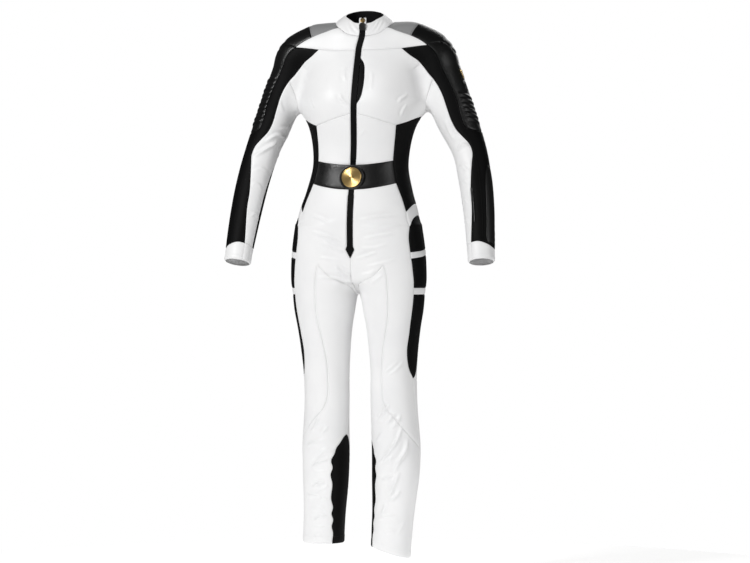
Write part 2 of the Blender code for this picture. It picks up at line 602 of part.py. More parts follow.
def sample_seam(name, facet):
    """Points on the form along a seam, about a facet's length apart, from corner to corner."""
    start, end, chart_name, between = SEAMS[name]
    chart = CHARTS[chart_name]
    ends = [corner(start), corner(end)]
    rows = [chart_values(chart, ends[0], CORNERS[start], chart_name)]
    rows += [np.array(row, float) for row in between]
    rows.append(chart_values(chart, ends[1], CORNERS[end], chart_name))
    rows = np.array(rows)
    if hasattr(chart, "coords"):
        rows[:, 0] = np.degrees(np.unwrap(np.radians(rows[:, 0])))
    knots = np.linspace(0, 1, len(rows))
    if len(rows) > 2:
        marks = chart.point(rows[:, 0], rows[:, 1])
        knots = np.r_[0, np.cumsum(np.linalg.norm(np.diff(marks, axis=0), axis=1))]
        knots = knots / knots[-1]
    fine = smooth_curve(np.linspace(0, 1, 161), knots, rows)
    path = chart.point(fine[:, 0], fine[:, 1])
    run = np.r_[0, np.cumsum(np.linalg.norm(np.diff(path, axis=0), axis=1))]
    count = max(1, round(run[-1] / facet))
    t = np.interp(np.linspace(0, run[-1], count + 1), run, np.linspace(0, 1, 161))
    chosen = smooth_curve(t, knots, rows)
    points = chart.point(chosen[:, 0], chosen[:, 1])
    points[0], points[-1] = ends
    return points


def chart_values(chart, point, row, chart_name):
    """A corner's two values in a seam's chart."""
    if row[0] == chart_name:
        return np.array(row[1:], float)
    return np.array(chart.values(point), float)


def loop_points(names, seams):
    """Points once round a piece, its seams turned so that each starts where the last one ended."""
    parts = [seams[name] for name in names]
    first = parts[0]
    if not np.allclose(first[-1], parts[1][0]) and not np.allclose(first[-1], parts[1][-1]):
        first = first[::-1]
    out = [first]
    for part in parts[1:]:
        closed = np.allclose(part[0], part[-1])
        forward = np.allclose(out[-1][-1], part[0]) and not closed
        out.append(part if forward else part[::-1])
    return np.concatenate([part[:-1] for part in out])


def inside(points, polygon):
    """Which points lie inside the polygon, by counting crossings."""
    x, y = points[:, :1], points[:, 1:]
    ax, ay = polygon.T
    bx, by = np.roll(polygon, -1, axis=0).T
    crosses = (ay > y) != (by > y)
    at = ax + (y - ay) * (bx - ax) / np.where(by == ay, 1e-12, by - ay)
    return (crosses & (x < at)).sum(1) % 2 == 1


def edge_distance(points, polygon):
    a, b = polygon, np.roll(polygon, -1, axis=0)
    ab = b - a
    t = ((points[:, None] - a) * ab).sum(-1) / np.maximum((ab * ab).sum(-1), 1e-12)
    near = a + np.clip(t, 0, 1)[..., None] * ab
    return np.linalg.norm(points[:, None] - near, axis=-1).min(1)


def quilting(side):
    """Lines of points along the quilting's crests and valleys, in the sleeve's chart, with their height."""
    low, high, start, end, ribs = QUILT[side]
    across, row = np.meshgrid((-0.12, 0.0, 0.5, 1.0, 1.12), np.arange(2 * ribs + 1))
    turn = low + across * (high - low)
    length = start + row / (2 * ribs) * (end - start) + QUILT_SLANT * (across - 0.5)
    height = QUILT_HIGH * (row % 2) * (np.abs(across - 0.5) < 0.51)
    index = np.arange(row.size).reshape(row.shape)
    lines = np.stack([index[:, :-1].ravel(), index[:, 1:].ravel()], -1)
    return turn.ravel(), length.ravel(), height.ravel(), lines


def fill(loop, chart, facet, raised=None):
    """Triangles over the inside of a loop: a grid of points in the chart, cast onto the form."""
    u, v = chart.coords(loop)
    u = np.degrees(np.unwrap(np.radians(u)))
    outline = np.stack(chart.flat(u, v), -1)
    low, high = outline.min(0), outline.max(0)
    rows = np.arange(low[1], high[1], facet * math.sqrt(0.75))
    columns = np.arange(low[0], high[0] + facet, facet)
    a, b = np.meshgrid(columns, rows)
    a = a + (np.arange(len(rows)) % 2)[:, None] * facet / 2
    grid = np.stack([a.ravel(), b.ravel()], -1)
    grid = grid[inside(grid, outline)]
    grid = grid[edge_distance(grid, outline) > 0.55 * facet]
    height, lines = np.zeros(len(grid)), []
    if raised:
        turn, length, extra, lines = raised
        added = np.stack(chart.flat(turn, length), -1)
        clear = np.linalg.norm(grid[:, None] - added, axis=-1).min(1) > 0.5 * facet
        lines = [(int(a), int(b)) for a, b in lines + len(outline) + clear.sum()]
        grid = np.concatenate([grid[clear], added])
        height = np.concatenate([height[clear], extra])
    flat = np.concatenate([outline, grid])
    verts, _edges, faces, sources, _e, _f = delaunay_2d_cdt(
        [Vector(p) for p in flat], lines, [list(range(len(outline)))], 1, 1e-7)
    index = np.array([source[0] for source in sources])
    triangles = index[np.array(faces)]
    points = np.concatenate([loop, chart.point(*chart.unflat(grid[:, 0], grid[:, 1]))])
    return points, triangles, np.concatenate([np.zeros(len(loop)), height])


def face_out(points, triangles, normals):
    """Turn the triangles so that they face the same way as the form."""
    a, b, c = (points[triangles[:, i]] for i in range(3))
    facing = (np.cross(b - a, c - a) * normals[triangles].sum(1)).sum(-1)
    return triangles if facing.sum() > 0 else triangles[:, ::-1]


def set_back(points, normals, count, sign, amount):
    """Draw the first points, which run once round the piece, back from the seam."""
    ring = points[:count]
    before = ring - np.roll(ring, 1, axis=0)
    after = np.roll(ring, -1, axis=0) - ring
    sides = []
    for run in (before, after):
        side = np.cross(normals[:count], run) * sign
        sides.append(side / np.linalg.norm(side, axis=1, keepdims=True))
    half = sides[0] + sides[1]
    size = np.maximum((half * half).sum(1, keepdims=True), 0.12)
    moved = points.copy()
    moved[:count] += half * 2 * amount / size
    return moved


def rim_faces(points, ring, count):
    """Triangles across a wall's edge, each quad split from its higher end, as its neighbour's is."""
    after = np.roll(ring, -1)
    higher = points[ring] @ RANK > points[after] @ RANK
    start, end = ring + count, after + count
    first = np.stack([ring, start, np.where(higher, end, after)], -1)
    second = np.stack([after, np.where(higher, ring, start), end], -1)
    return np.concatenate([first, second])


def wall_mesh(name, outer, inner, triangles, ring, side="L"):
    """A closed wall between two faces with the same triangles; ring runs round its edge."""
    count = len(outer)
    points = np.concatenate([outer, inner])
    faces = np.concatenate([triangles, triangles[:, ::-1] + count, rim_faces(points, ring, count)])
    if side == "R":
        points = points * np.array([-1, 1, 1])
    return new_object(name, pose(points), faces)


def new_object(name, points, faces):
    """An object in the suit's collection, its faces turned outwards."""
    mesh = bpy.data.meshes.new(name)
    mesh.from_pydata([tuple(p) for p in points], [], [tuple(int(i) for i in f) for f in faces])
    bm = bmesh.new()
    bm.from_mesh(mesh)
    if bm.calc_volume(signed=True) < 0:
        bmesh.ops.reverse_faces(bm, faces=bm.faces)
    bm.to_mesh(mesh)
    bm.free()
    thing = bpy.data.objects.new(name, mesh)
    SUIT.objects.link(thing)
    return thing


def paint(thing, name):
    thing.data.materials.append(finish(name))
    return thing


def cut_piece(name, chart_name, finish_name, wall, sides, seam_names, seams):
    loop = loop_points(seam_names.split(), seams)
    count = len(loop)
    for side in sides:
        raised = quilting(side) if name == "sleeve_patch" else None
        points, triangles, height = fill(loop, CHARTS[chart_name], FACET, raised)
        normals = outward(points)
        triangles = face_out(points, triangles, normals)
        edges = {(int(t[i]), int(t[(i + 1) % 3])) for t in triangles for i in range(3)}
        sign = 1 if (0, 1) in edges else -1
        plain = set_back(points, normals, count, sign, GAP / 2)
        outer = plain + normals * height[:, None]
        ring = np.arange(count)[::sign]
        label = name if name.endswith(("_L", "_R")) or len(sides) == 1 else f"{name}_{side}"
        paint(wall_mesh(label, outer, plain - normals * wall, triangles, ring, side), finish_name)


def strip_mesh(name, outer, inner):
    """A closed wall from two grids of points, rows by columns, open at neither end."""
    rows, columns = outer.shape[:2]
    index = np.arange(rows * columns).reshape(rows, columns)
    a, b, c, d = index[:-1, :-1], index[1:, :-1], index[1:, 1:], index[:-1, 1:]
    quads = np.stack([a, b, c, d], -1).reshape(-1, 4)
    triangles = np.concatenate([quads[:, [0, 1, 2]], quads[:, [0, 2, 3]]])
    ring = np.concatenate([index[:, 0], index[-1, 1:], index[-2::-1, -1], index[0, -2:0:-1]])
    return wall_mesh(name, outer.reshape(-1, 3), inner.reshape(-1, 3), triangles, ring)


def rim_point(turn):
    return smooth_curve(turn, RIM[:, 0], RIM[:, 1:])


def collar(seams):
    """Stand collar: the white outer wall and its black lining, from the neck seam up to the rim."""
    base = np.concatenate([seams["neck_front"][:-1], seams["neck_side"][:-1], seams["neck_rear"]])
    base[0, 0] += GAP / 2
    rim = rim_point(np.degrees(np.arctan2(base[:, 0], -base[:, 1])))
    rim[0, 0] = ZIP_HALF + GAP / 2
    mirror = np.array([-1, 1, 1])
    base = np.concatenate([base, base[-2::-1] * mirror])
    rim = np.concatenate([rim, rim[-2::-1] * mirror])
    rise = rim - base
    up = rise / np.linalg.norm(rise, axis=1, keepdims=True)
    along = np.gradient(base + rim, axis=0)
    along[0], along[-1] = (1, 0, 0), (1, 0, 0)
    out = np.cross(along, up)
    out /= np.linalg.norm(out, axis=1, keepdims=True)
    levels = np.array([0.0, 0.5, 1.0])[:, None, None]
    face = base + up * GAP * 1.5 + (rise - up * GAP * 1.5) * levels
    paint(strip_mesh("collar", face, face - out * WALL), "white")
    lining = face - out * (WALL + GAP)
    paint(strip_mesh("collar_lining", lining, lining - out * LINING), "black")


RANK = np.array([0.30, 0.50, 0.81])      # the direction that a rim's ends are compared along
LINING = 0.0014        # thickness of the collar's lining and the zip's tape
TAPE_TOP = 0.012       # height of the zip's upper end
BELT_DIP = 0.0048      # how far the zip's tape lies back where the belt crosses it
ZIP_SEAMS = "zip_a zip_b1 zip_b2 zip_b3 zip_c zip_d zip_e zip_f"


def zip_path(seams):
    """Points down the middle of the zip with their half widths: the collar's front, then the body's."""
    edges = [seams[name][1:] for name in ZIP_SEAMS.split()]
    edges.insert(5, np.array([(ZIP_HALF, 0, z) for z in (-0.381, -0.418, -0.458, -0.474)]))
    edge = np.concatenate([seams["zip_a"][:1], *edges])
    half, down = np.maximum(edge[:, 0], 0.0006), edge[:, 2]
    on_body = Straight().point(np.zeros_like(down), down)
    dip = BELT_DIP * ((down > -0.470) & (down < -0.377))
    on_body = on_body - outward(on_body) * dip[:, None]
    neck = on_body[0]
    brim = rim_point(0.0)
    slope = (brim - neck) / (brim[2] - neck[2])
    heights = np.array([TAPE_TOP, 0.0, -0.018])
    on_collar = neck + (heights - neck[2])[:, None] * slope
    return np.concatenate([on_collar, on_body]), np.concatenate([np.full(3, ZIP_HALF), half])


def zip_tape(seams):
    middle, half = zip_path(seams)
    half = half - GAP / 2
    across = np.array([1.0, 0, 0]) * half[:, None]
    down = np.gradient(middle, axis=0)
    back = np.cross(down, np.array([1.0, 0, 0]))
    back /= np.linalg.norm(back, axis=1, keepdims=True)
    face = np.stack([middle - across, middle, middle + across], 1)
    paint(strip_mesh("zip_tape", face, face + back[:, None] * LINING), "black")


def seat(point, carrier):
    """Place on a piece that is already made: origin a gap over its facet, with axes across, down and out."""
    mesh = bpy.data.objects[carrier].data
    tree = BVHTree.FromPolygons([v.co for v in mesh.vertices], [p.vertices for p in mesh.polygons])
    place_on, normal, _face, _far = tree.find_nearest(Vector(point))
    out = np.array(normal)
    down = np.array([0, 0, -1.0]) + out * out[2]
    down /= np.linalg.norm(down)
    return np.array(place_on) + out * GAP, np.cross(down, out), down, out


def place(thing, at, swing=0.0):
    """Set a piece made in its own axes, x across, y down, z out, onto its seat, and swing it on its hinge."""
    origin, across, down, out = at
    frame = Matrix((across, down, out)).transposed().to_4x4()
    frame.translation = Vector(origin)
    hinge = Matrix.Translation((0, 0, HINGE))
    thing.matrix_world = frame @ hinge @ Matrix.Rotation(swing, 4, "X") @ hinge.inverted()


def plate(name, outline, low, high):
    """A flat piece: the outline, drawn out between two heights."""
    count = len(outline)
    middle = np.mean(outline, axis=0)
    points = [(x, y, low) for x, y in outline] + [(x, y, high) for x, y in outline]
    points += [(*middle, low), (*middle, high)]
    faces = [(i, (i + 1) % count, (i + 1) % count + count, i + count) for i in range(count)]
    faces += [((i + 1) % count, i, 2 * count) for i in range(count)]
    faces += [(i + count, (i + 1) % count + count, 2 * count + 1) for i in range(count)]
    return new_object(name, points, faces)


def rounded(width, top, bottom, radius, steps=4):
    """Outline of a plate with round corners, from top to bottom."""
    out = []
    for cx, cy, start in ((width / 2, bottom, 0), (-width / 2, bottom, 90), (-width / 2, top, 180),
                          (width / 2, top, 270)):
        mx = cx - math.copysign(radius, cx)
        my = cy + (-radius if cy == bottom else radius)
        for i in range(steps + 1):
            turn = math.radians(start + 90 * i / steps)
            out.append((mx + radius * math.cos(turn), my + radius * math.sin(turn)))
    return out


def barrel(name, radius, half_length, height, sides=16):
    """A short round bar across the piece."""
    turns = [math.tau * i / sides for i in range(sides)]
    ring = [(radius * math.sin(t), height + radius * math.cos(t)) for t in turns]
    points = [(-half_length, y, z) for y, z in ring] + [(half_length, y, z) for y, z in ring]
    faces = [tuple(range(sides)), tuple(range(sides, 2 * sides))[::-1]]
    faces += [(i + sides, (i + 1) % sides + sides, (i + 1) % sides, i) for i in range(sides)]
    return new_object(name, points, faces)


def join(target, others):
    """Boolean union of closed pieces into the first, applied."""
    for other in others:
        cut = target.modifiers.new("join", "BOOLEAN")
        cut.operation = "UNION"
        cut.solver = "EXACT"
        cut.object = other
        other.hide_render = True
        other.display_type = "WIRE"
        CUTTERS.objects.link(other)
        SUIT.objects.unlink(other)
    return target


# zip pulls: turn and length on the sleeve, piece below, slider (width, length), tab (width, length, round)
PULLS = {
    "neck": (None, None, "zip_tape", (0.0125, 0.0118), (0.0178, 0.030, 0.0060)),
    "pocket": (76.0, 0.262, "sleeve_patch_L", (0.0080, 0.0110), (0.0075, 0.022, 0.0025)),
    "forearm": (-7.0, 0.605, "sleeve_front_L", (0.0060, 0.0080), (0.0055, 0.026, 0.0020)),
}
PULL_FINISH = {"neck": ("gold", "rubber"), "pocket": ("gold", "gold"), "forearm": ("rubber", "rubber")}
SLIDER_DEEP = 0.0026     # height of a slider over the cloth
KNUCKLE = 0.0015         # radius of a tab's hinge knuckle
HINGE = 0.0047           # height of the hinge's axis over the slider's back
REST = math.radians(-4)  # swing of a tab at rest, towards the cloth
TAB_DEEP = 0.0016        # thickness of a tab


def pull(name, at):
    """A slider with two ears, and a tab that hangs from its knuckle between them."""
    _turn, _length, _carrier, (slide_w, slide_l), (tab_w, tab_l, tab_r) = PULLS[name]
    slider_finish, tab_finish = PULL_FINISH[name]
    axis = HINGE
    half = slide_w * 0.24
    ear = slide_w * 0.14
    slider = plate(f"{name}_slider", rounded(slide_w, -slide_l / 2, slide_l / 2, slide_w * 0.3), 0.0, SLIDER_DEEP)
    ears = []
    for sign in (-1, 1):
        inner = sign * (half + GAP)
        outer_edge = sign * (half + GAP + ear)
        left, right = min(inner, outer_edge), max(inner, outer_edge)
        outline = [(right, KNUCKLE), (left, KNUCKLE), (left, -KNUCKLE), (right, -KNUCKLE)]
        ears.append(plate(f"{name}_ear_{sign}", outline, SLIDER_DEEP / 2, axis + KNUCKLE))
    join(slider, ears)
    tab = plate(f"{name}_pull", rounded(tab_w, KNUCKLE * 1.3, tab_l, tab_r), axis - TAB_DEEP / 2, axis + TAB_DEEP / 2)
    shank = half * 0.75
    outline = [(shank, tab_r * 1.2), (-shank, tab_r * 1.2), (-shank, 0.0), (shank, 0.0)]
    neck = plate(f"{name}_tab_neck", outline, axis - TAB_DEEP * 0.38, axis + TAB_DEEP * 0.38)
    join(tab, [barrel(f"{name}_knuckle", KNUCKLE, half, axis), neck])
    for piece in (slider, *ears):
        place(piece, at)
    for piece in (tab, *[join.object for join in tab.modifiers]):
        place(piece, at, REST)
    paint(slider, slider_finish)
    paint(tab, tab_finish)


BUCKLE_Z = -0.419          # height of the buckle's middle
BASE_R, DISC_R = 0.0340, 0.0270
BASE_OVER = 0.0007         # from the belt to the back of the buckle's base
BASE_DEEP = 0.0050
DISC_DEEP = 0.0042


def buckle():
    """A round black base that follows the belt behind and is flat in front, and a domed gold disc on it."""
    radii = np.array([0.0, 0.35, 0.7, 1.0]) * BASE_R
    turns = np.linspace(0, math.tau, 33)[:-1]
    x = radii[1:, None] * np.cos(turns)
    z = BUCKLE_Z + radii[1:, None] * np.sin(turns)
    flat_x, flat_z = np.r_[0.0, x.ravel()], np.r_[BUCKLE_Z, z.ravel()]
    back = Straight().point(flat_x, flat_z) + np.array([0, -BASE_OVER, 0])
    face_y = back[0, 1] - BASE_DEEP
    front = np.stack([flat_x, np.full_like(flat_x, face_y), flat_z], -1)
    count, around = len(back), len(turns)
    faces = [(0, 1 + i, 1 + (i + 1) % around) for i in range(around)]
    for ring in range(2):
        first = 1 + ring * around
        for i in range(around):
            j = (i + 1) % around
            faces.append((first + i, first + i + around, first + j + around, first + j))
    tris = [(f[0], f[k], f[k + 1]) for f in faces for k in range(1, len(f) - 1)]
    last = count - around
    rim = [(last + i, last + i + count, last + (i + 1) % around + count, last + (i + 1) % around)
           for i in range(around)]
    points = pose(np.concatenate([front, back]))
    paint(new_object("buckle_base", points, tris + [tuple(np.array(t)[::-1] + count) for t in tris] + rim),
          "rubber")
    profile = [(0.0, DISC_DEEP), (0.35, DISC_DEEP * 0.98), (0.8, DISC_DEEP * 0.86), (0.97, DISC_DEEP * 0.62),
               (1.0, DISC_DEEP * 0.4), (1.0, 0.0), (0.0, 0.0)]
    disc = bpy.data.meshes.new("buckle_disc")
    bm = bmesh.new()
    made = [bm.verts.new((r * DISC_R, 0, h)) for r, h in profile]
    ring = [bm.edges.new((a, b)) for a, b in zip(made, made[1:])]
    bmesh.ops.spin(bm, geom=made + ring, cent=(0, 0, 0), axis=(0, 0, 1), angle=math.tau, steps=48)
    bmesh.ops.remove_doubles(bm, verts=bm.verts, dist=1e-5)
    bmesh.ops.recalc_face_normals(bm, faces=bm.faces)
    bm.to_mesh(disc)
    bm.free()
    thing = bpy.data.objects.new("buckle_disc", disc)
    SUIT.objects.link(thing)
    middle = pose(np.array([[0.0, face_y - GAP, BUCKLE_Z]]))[0]
    thing.matrix_world = Matrix.Translation(Vector(middle)) @ Matrix.Rotation(math.radians(90), 4, "X")
    paint(thing, "gold")


def pull_foot(name, seams):
    """Where a slider stands, a little off the suit: the neck's on the tape, the others on the sleeve."""
    turn, length = PULLS[name][:2]
    if turn is None:
        middle, _half = zip_path(seams)
        return pose(middle[:2].mean(0)[None] + [[0, -0.003, 0.001]])[0]
    return pose(CHARTS["sleeve"].point(np.array([float(turn)]), np.array([float(length)])))[0]


def build():
    clear_scene()
    seams = {name: sample_seam(name, FACET) for name in SEAMS}
    for name, (chart, look, wall, sides, loop) in PIECES.items():
        cut_piece(name, chart, look, wall, sides, loop, seams)
    collar(seams)
    zip_tape(seams)
    buckle()
    for name in PULLS:
        pull(name, seat(pull_foot(name, seams), PULLS[name][2]))


SUIT = bpy.data.collections.new("ski_suit")
CUTTERS = bpy.data.collections.new("cutters")
bpy.context.scene.collection.children.link(SUIT)
bpy.context.scene.collection.children.link(CUTTERS)
build()
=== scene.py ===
# %% [markdown]
# # Ski suit
# A fitted one-piece suit keeps the form of its wearer, so it is made here as a tailor sees it: first the
# body that fills it, then the seams drawn on that body, then one panel of cloth for each patch between
# seams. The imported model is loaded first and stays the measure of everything: each panel replaces the
# plain solid of the same name.

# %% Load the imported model
import math

import bmesh
import bpy
import numpy as np
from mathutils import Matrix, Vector
from mathutils.bvhtree import BVHTree
from mathutils.geometry import delaunay_2d_cdt


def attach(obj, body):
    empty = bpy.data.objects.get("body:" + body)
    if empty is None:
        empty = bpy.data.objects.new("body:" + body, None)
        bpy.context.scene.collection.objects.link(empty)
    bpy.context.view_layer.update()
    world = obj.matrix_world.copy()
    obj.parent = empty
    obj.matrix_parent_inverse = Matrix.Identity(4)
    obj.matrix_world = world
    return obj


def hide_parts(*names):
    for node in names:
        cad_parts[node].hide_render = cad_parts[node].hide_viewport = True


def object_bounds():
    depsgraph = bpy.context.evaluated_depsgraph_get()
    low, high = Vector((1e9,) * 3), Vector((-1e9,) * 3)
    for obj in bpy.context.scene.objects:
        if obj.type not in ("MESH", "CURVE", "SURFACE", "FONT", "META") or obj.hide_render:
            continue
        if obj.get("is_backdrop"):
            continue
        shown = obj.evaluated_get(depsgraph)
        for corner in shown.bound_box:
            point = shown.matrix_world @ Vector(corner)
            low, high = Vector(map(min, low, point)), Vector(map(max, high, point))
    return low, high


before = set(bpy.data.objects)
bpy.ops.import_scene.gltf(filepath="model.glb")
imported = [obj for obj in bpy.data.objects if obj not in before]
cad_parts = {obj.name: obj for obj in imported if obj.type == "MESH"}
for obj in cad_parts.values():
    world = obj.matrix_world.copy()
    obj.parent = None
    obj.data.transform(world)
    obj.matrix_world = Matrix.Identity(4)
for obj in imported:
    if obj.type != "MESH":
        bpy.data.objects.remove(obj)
CAD_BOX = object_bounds()
SPACING = 0.0044      # between the points of a panel
print("solids:", len(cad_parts))

# %% [markdown]
# ## The body under the cloth
# A dress form could be sculpted, but a few measured sections describe it just as well and can be changed
# one by one: half width and depths of the torso by height, the same for a leg, and a bent axis with radii
# for a sleeve. The sizes are the ones the solids were made from, so panel and solid lie on one form.

# %% Sizes and sections
WALL = 0.0018          # thickness of the cloth
LEATHER = 0.0022       # thickness of the belt and the sleeve patch
GAP = 0.0003           # between neighbours at a seam
HEM = -1.432           # height of the trouser hems before each leg's own set
CUFF_END = 0.790       # length of the sleeve's axis, neck to cuff
ZIP_HALF = 0.0078      # half width of the zip's tape
BLEND_LEGS, BLEND_HIP, BLEND_ARM, BLEND_CAP = 0.030, 0.035, 0.040, 0.030
BODY_TOP, BODY_BOTTOM, LEG_TOP = -0.015, -0.705, -0.560
LEGS_BELOW, ARMS_ABOVE, ARMS_BEYOND = -0.42, -0.36, 0.21      # where legs and sleeves count, in z, z, x
BODY_ROUND, LEG_ROUND = 2.3, 2.15      # powers of the sections' super-ellipses
BUST = (0.010, 0.075, -0.195, 0.045, 0.050)   # fullness cut into the bodice: depth, x, z, reach in x, z

# height, half width, depth in front, depth behind
BODY = np.array([
    (-0.020, 0.135, 0.062, 0.070),
    (-0.060, 0.142, 0.072, 0.084),
    (-0.100, 0.150, 0.090, 0.094),
    (-0.163, 0.165, 0.112, 0.100),
    (-0.223, 0.174, 0.122, 0.100),
    (-0.278, 0.147, 0.112, 0.094),
    (-0.335, 0.134, 0.099, 0.089),
    (-0.385, 0.131, 0.097, 0.090),
    (-0.450, 0.145, 0.105, 0.101),
    (-0.518, 0.165, 0.110, 0.117),
    (-0.597, 0.177, 0.108, 0.127),
    (-0.650, 0.177, 0.103, 0.125),
    (-0.720, 0.172, 0.092, 0.112),
])
# height, middle of the leg, half width, depth in front, depth behind
LEG = np.array([
    (-0.550, 0.0800, 0.0780, 0.092, 0.112),
    (-0.650, 0.0900, 0.0860, 0.097, 0.116),
    (-0.717, 0.0935, 0.0875, 0.097, 0.109),
    (-0.770, 0.0955, 0.0820, 0.092, 0.101),
    (-0.820, 0.0955, 0.0735, 0.087, 0.093),
    (-0.877, 0.0945, 0.0665, 0.080, 0.084),
    (-0.932, 0.0935, 0.0620, 0.075, 0.075),
    (-1.022, 0.0925, 0.0600, 0.069, 0.064),
    (-1.095, 0.0945, 0.0600, 0.064, 0.066),
    (-1.158, 0.0965, 0.0600, 0.060, 0.071),
    (-1.221, 0.0970, 0.0595, 0.057, 0.070),
    (-1.294, 0.0960, 0.0570, 0.055, 0.063),
    (-1.411, 0.0945, 0.0545, 0.056, 0.058),
    (-1.480, 0.0940, 0.0545, 0.057, 0.058),
])
# the sleeve's axis from the neck to the cuff: x, y, z, radius
SLEEVE = np.array([
    (0.0000, 0.010, -0.058, 0.0620),
    (0.0800, 0.012, -0.060, 0.0650),
    (0.1500, 0.012, -0.066, 0.0630),
    (0.1890, 0.012, -0.088, 0.0600),
    (0.2060, 0.012, -0.130, 0.0570),
    (0.2280, 0.012, -0.190, 0.0565),
    (0.2550, 0.010, -0.260, 0.0535),
    (0.2885, 0.000, -0.341, 0.0465),
    (0.3100, -0.022, -0.430, 0.0445),
    (0.3230, -0.043, -0.510, 0.0420),
    (0.3310, -0.064, -0.583, 0.0390),
    (0.3370, -0.083, -0.650, 0.0360),
])
# how far the suit leans to the wearer's left: height, shift in x
LEAN = np.array([(0.05, 0.0136), (-0.05, 0.0136), (-0.20, 0.0105), (-0.42, 0.0005), (-0.52, -0.0035),
                 (-0.70, -0.0035), (-0.95, 0.000), (-1.20, 0.001), (-1.48, -0.0105)])
# rim of the collar: turn from the front in degrees, x, y, z
RIM = np.array([(0, 0.0000, -0.0575, 0.0000), (8, 0.0080, -0.0570, 0.0000), (20, 0.0200, -0.0535, 0.0015),
                (42, 0.0355, -0.0420, 0.0110), (65, 0.0470, -0.0240, 0.0195), (90, 0.0520, -0.0010, 0.0267),
                (115, 0.0475, 0.0220, 0.0335), (140, 0.0350, 0.0390, 0.0390), (160, 0.0190, 0.0480, 0.0425),
                (180, 0.0000, 0.0510, 0.0436)])
NECK_FOCUS = -0.085    # height of the point that the neck chart's rays start from
# spread of the body chart, which sets how wide its facets are: height, radius
SPREAD = np.array([(-0.02, 0.11), (-0.22, 0.15), (-0.38, 0.12), (-0.55, 0.155), (-0.70, 0.10),
                   (-0.90, 0.075), (-1.48, 0.058)])

# %% [markdown]
# Between the rows of a table the sizes run on smooth curves. A cubic Hermite curve takes its slope at each
# row from the two neighbouring rows, so it passes through every measured value without a corner.

# %% Smooth curves and blends
def ease(t):
    """0 below 0, 1 above 1, smooth between."""
    t = np.clip(t, 0, 1)
    return t * t * (3 - 2 * t)


def smooth_curve(t, knots, values):
    """Cubic Hermite curve through the knots, whose slopes come from the neighbouring knots."""
    slopes = np.gradient(values, knots, axis=0)
    i = np.clip(np.searchsorted(knots, t, side="right") - 1, 0, len(knots) - 2)
    h = knots[i + 1] - knots[i]
    u = np.clip((t - knots[i]) / h, 0, 1)
    if values.ndim > 1:
        u, h = u[..., None], h[..., None]
    return ((2 * u**3 - 3 * u**2 + 1) * values[i] + (u**3 - 2 * u**2 + u) * h * slopes[i]
            + (3 * u**2 - 2 * u**3) * values[i + 1] + (u**3 - u**2) * h * slopes[i + 1])


def unit(v):
    """The vectors of v at length one."""
    return v / np.linalg.norm(v, axis=-1, keepdims=True)


def run_along(points):
    """Length of the way from the first point to each point."""
    return np.r_[0, np.cumsum(np.linalg.norm(np.diff(points, axis=0), axis=1))]


def full_turn(count):
    """Even turns once round."""
    return np.arange(count) * (math.tau / count)


def unwrapped(turn):
    """Turns in degrees without the jump at half a turn."""
    return np.degrees(np.unwrap(np.radians(turn)))


def by_height(z, table):
    """The table's other columns at height z; its first column is the height, falling."""
    return smooth_curve(-z, -table[:, 0], table[:, 1:])


def union(a, b, blend):
    """Smooth union of two distances."""
    h = np.clip(blend - np.abs(a - b), 0, None) / blend
    return np.minimum(a, b) - h * h * blend / 4


def section_distance(x, y, half_width, front, back, power):
    """Distance to a super-ellipse, along the ray from its middle."""
    depth = np.where(y < 0, front, back)
    r = np.hypot(x, y) + 1e-9
    rho = (np.abs(x / half_width)**power + np.abs(y / depth)**power)**(1 / power) + 1e-9
    return r - r / rho

# %% [markdown]
# ## One smooth form
# Torso, legs and sleeves are joined as distances: a point's distance to the whole is the smaller of its
# distances to the parts, rounded where two parts are about equally near. That rounding gives the soft
# hollow of the armhole and the crotch, which separate tubes would not have.

# %% Distance to the suit's outer face
def body_distance(p):
    x, y, z = p.T
    half_width, front, back = by_height(z, BODY).T
    depth, bust_x, bust_z, reach_x, reach_z = BUST
    front = front + depth * np.exp(-((np.abs(x) - bust_x) / reach_x)**2 - ((z - bust_z) / reach_z)**2)
    side = section_distance(x, y, half_width, front, back, BODY_ROUND)
    ends = np.maximum(z - BODY_TOP, BODY_BOTTOM - z)
    return -union(-side, -ends, BLEND_CAP)


def leg_distance(p, side=1):
    x, y, z = p.T
    middle, half_width, front, back = by_height(z, LEG).T
    return np.maximum(section_distance(side * x - middle, y, half_width, front, back, LEG_ROUND), z - LEG_TOP)


def lengths_along(points):
    """Distances along the smooth curve through the points."""
    knots = run_along(points)
    for _ in range(2):
        t = np.linspace(0, knots[-1], 400)
        knots = np.interp(knots, t, run_along(smooth_curve(t, knots, points)))
    return knots


SLEEVE_RUN = lengths_along(SLEEVE[:, :3])
SLEEVE_LENGTH = SLEEVE_RUN[-1]
COARSE_RUN = np.linspace(0, SLEEVE_LENGTH, 61)
COARSE_AXIS = smooth_curve(COARSE_RUN, SLEEVE_RUN, SLEEVE)[:, :3]


def sleeve_axis(s):
    """Point, direction and radius of the sleeve's axis at length s."""
    at, ahead, behind = (smooth_curve(np.clip(s + step, 0, SLEEVE_LENGTH), SLEEVE_RUN, SLEEVE)
                         for step in (0, 0.002, -0.002))
    return at[..., :3], unit((ahead - behind)[..., :3]), at[..., 3]


def nearest_on_sleeve(p):
    """Length s of the axis point nearest to p."""
    s = COARSE_RUN[((p[..., None, :] - COARSE_AXIS)**2).sum(-1).argmin(-1)]
    for _ in range(3):
        middle, along, _radius = sleeve_axis(s)
        s = np.clip(s + ((p - middle) * along).sum(-1), 0, SLEEVE_LENGTH)
    return s


def sleeve_distance(p):
    middle, _along, radius = sleeve_axis(nearest_on_sleeve(p))
    return np.linalg.norm(p - middle, axis=-1) - radius


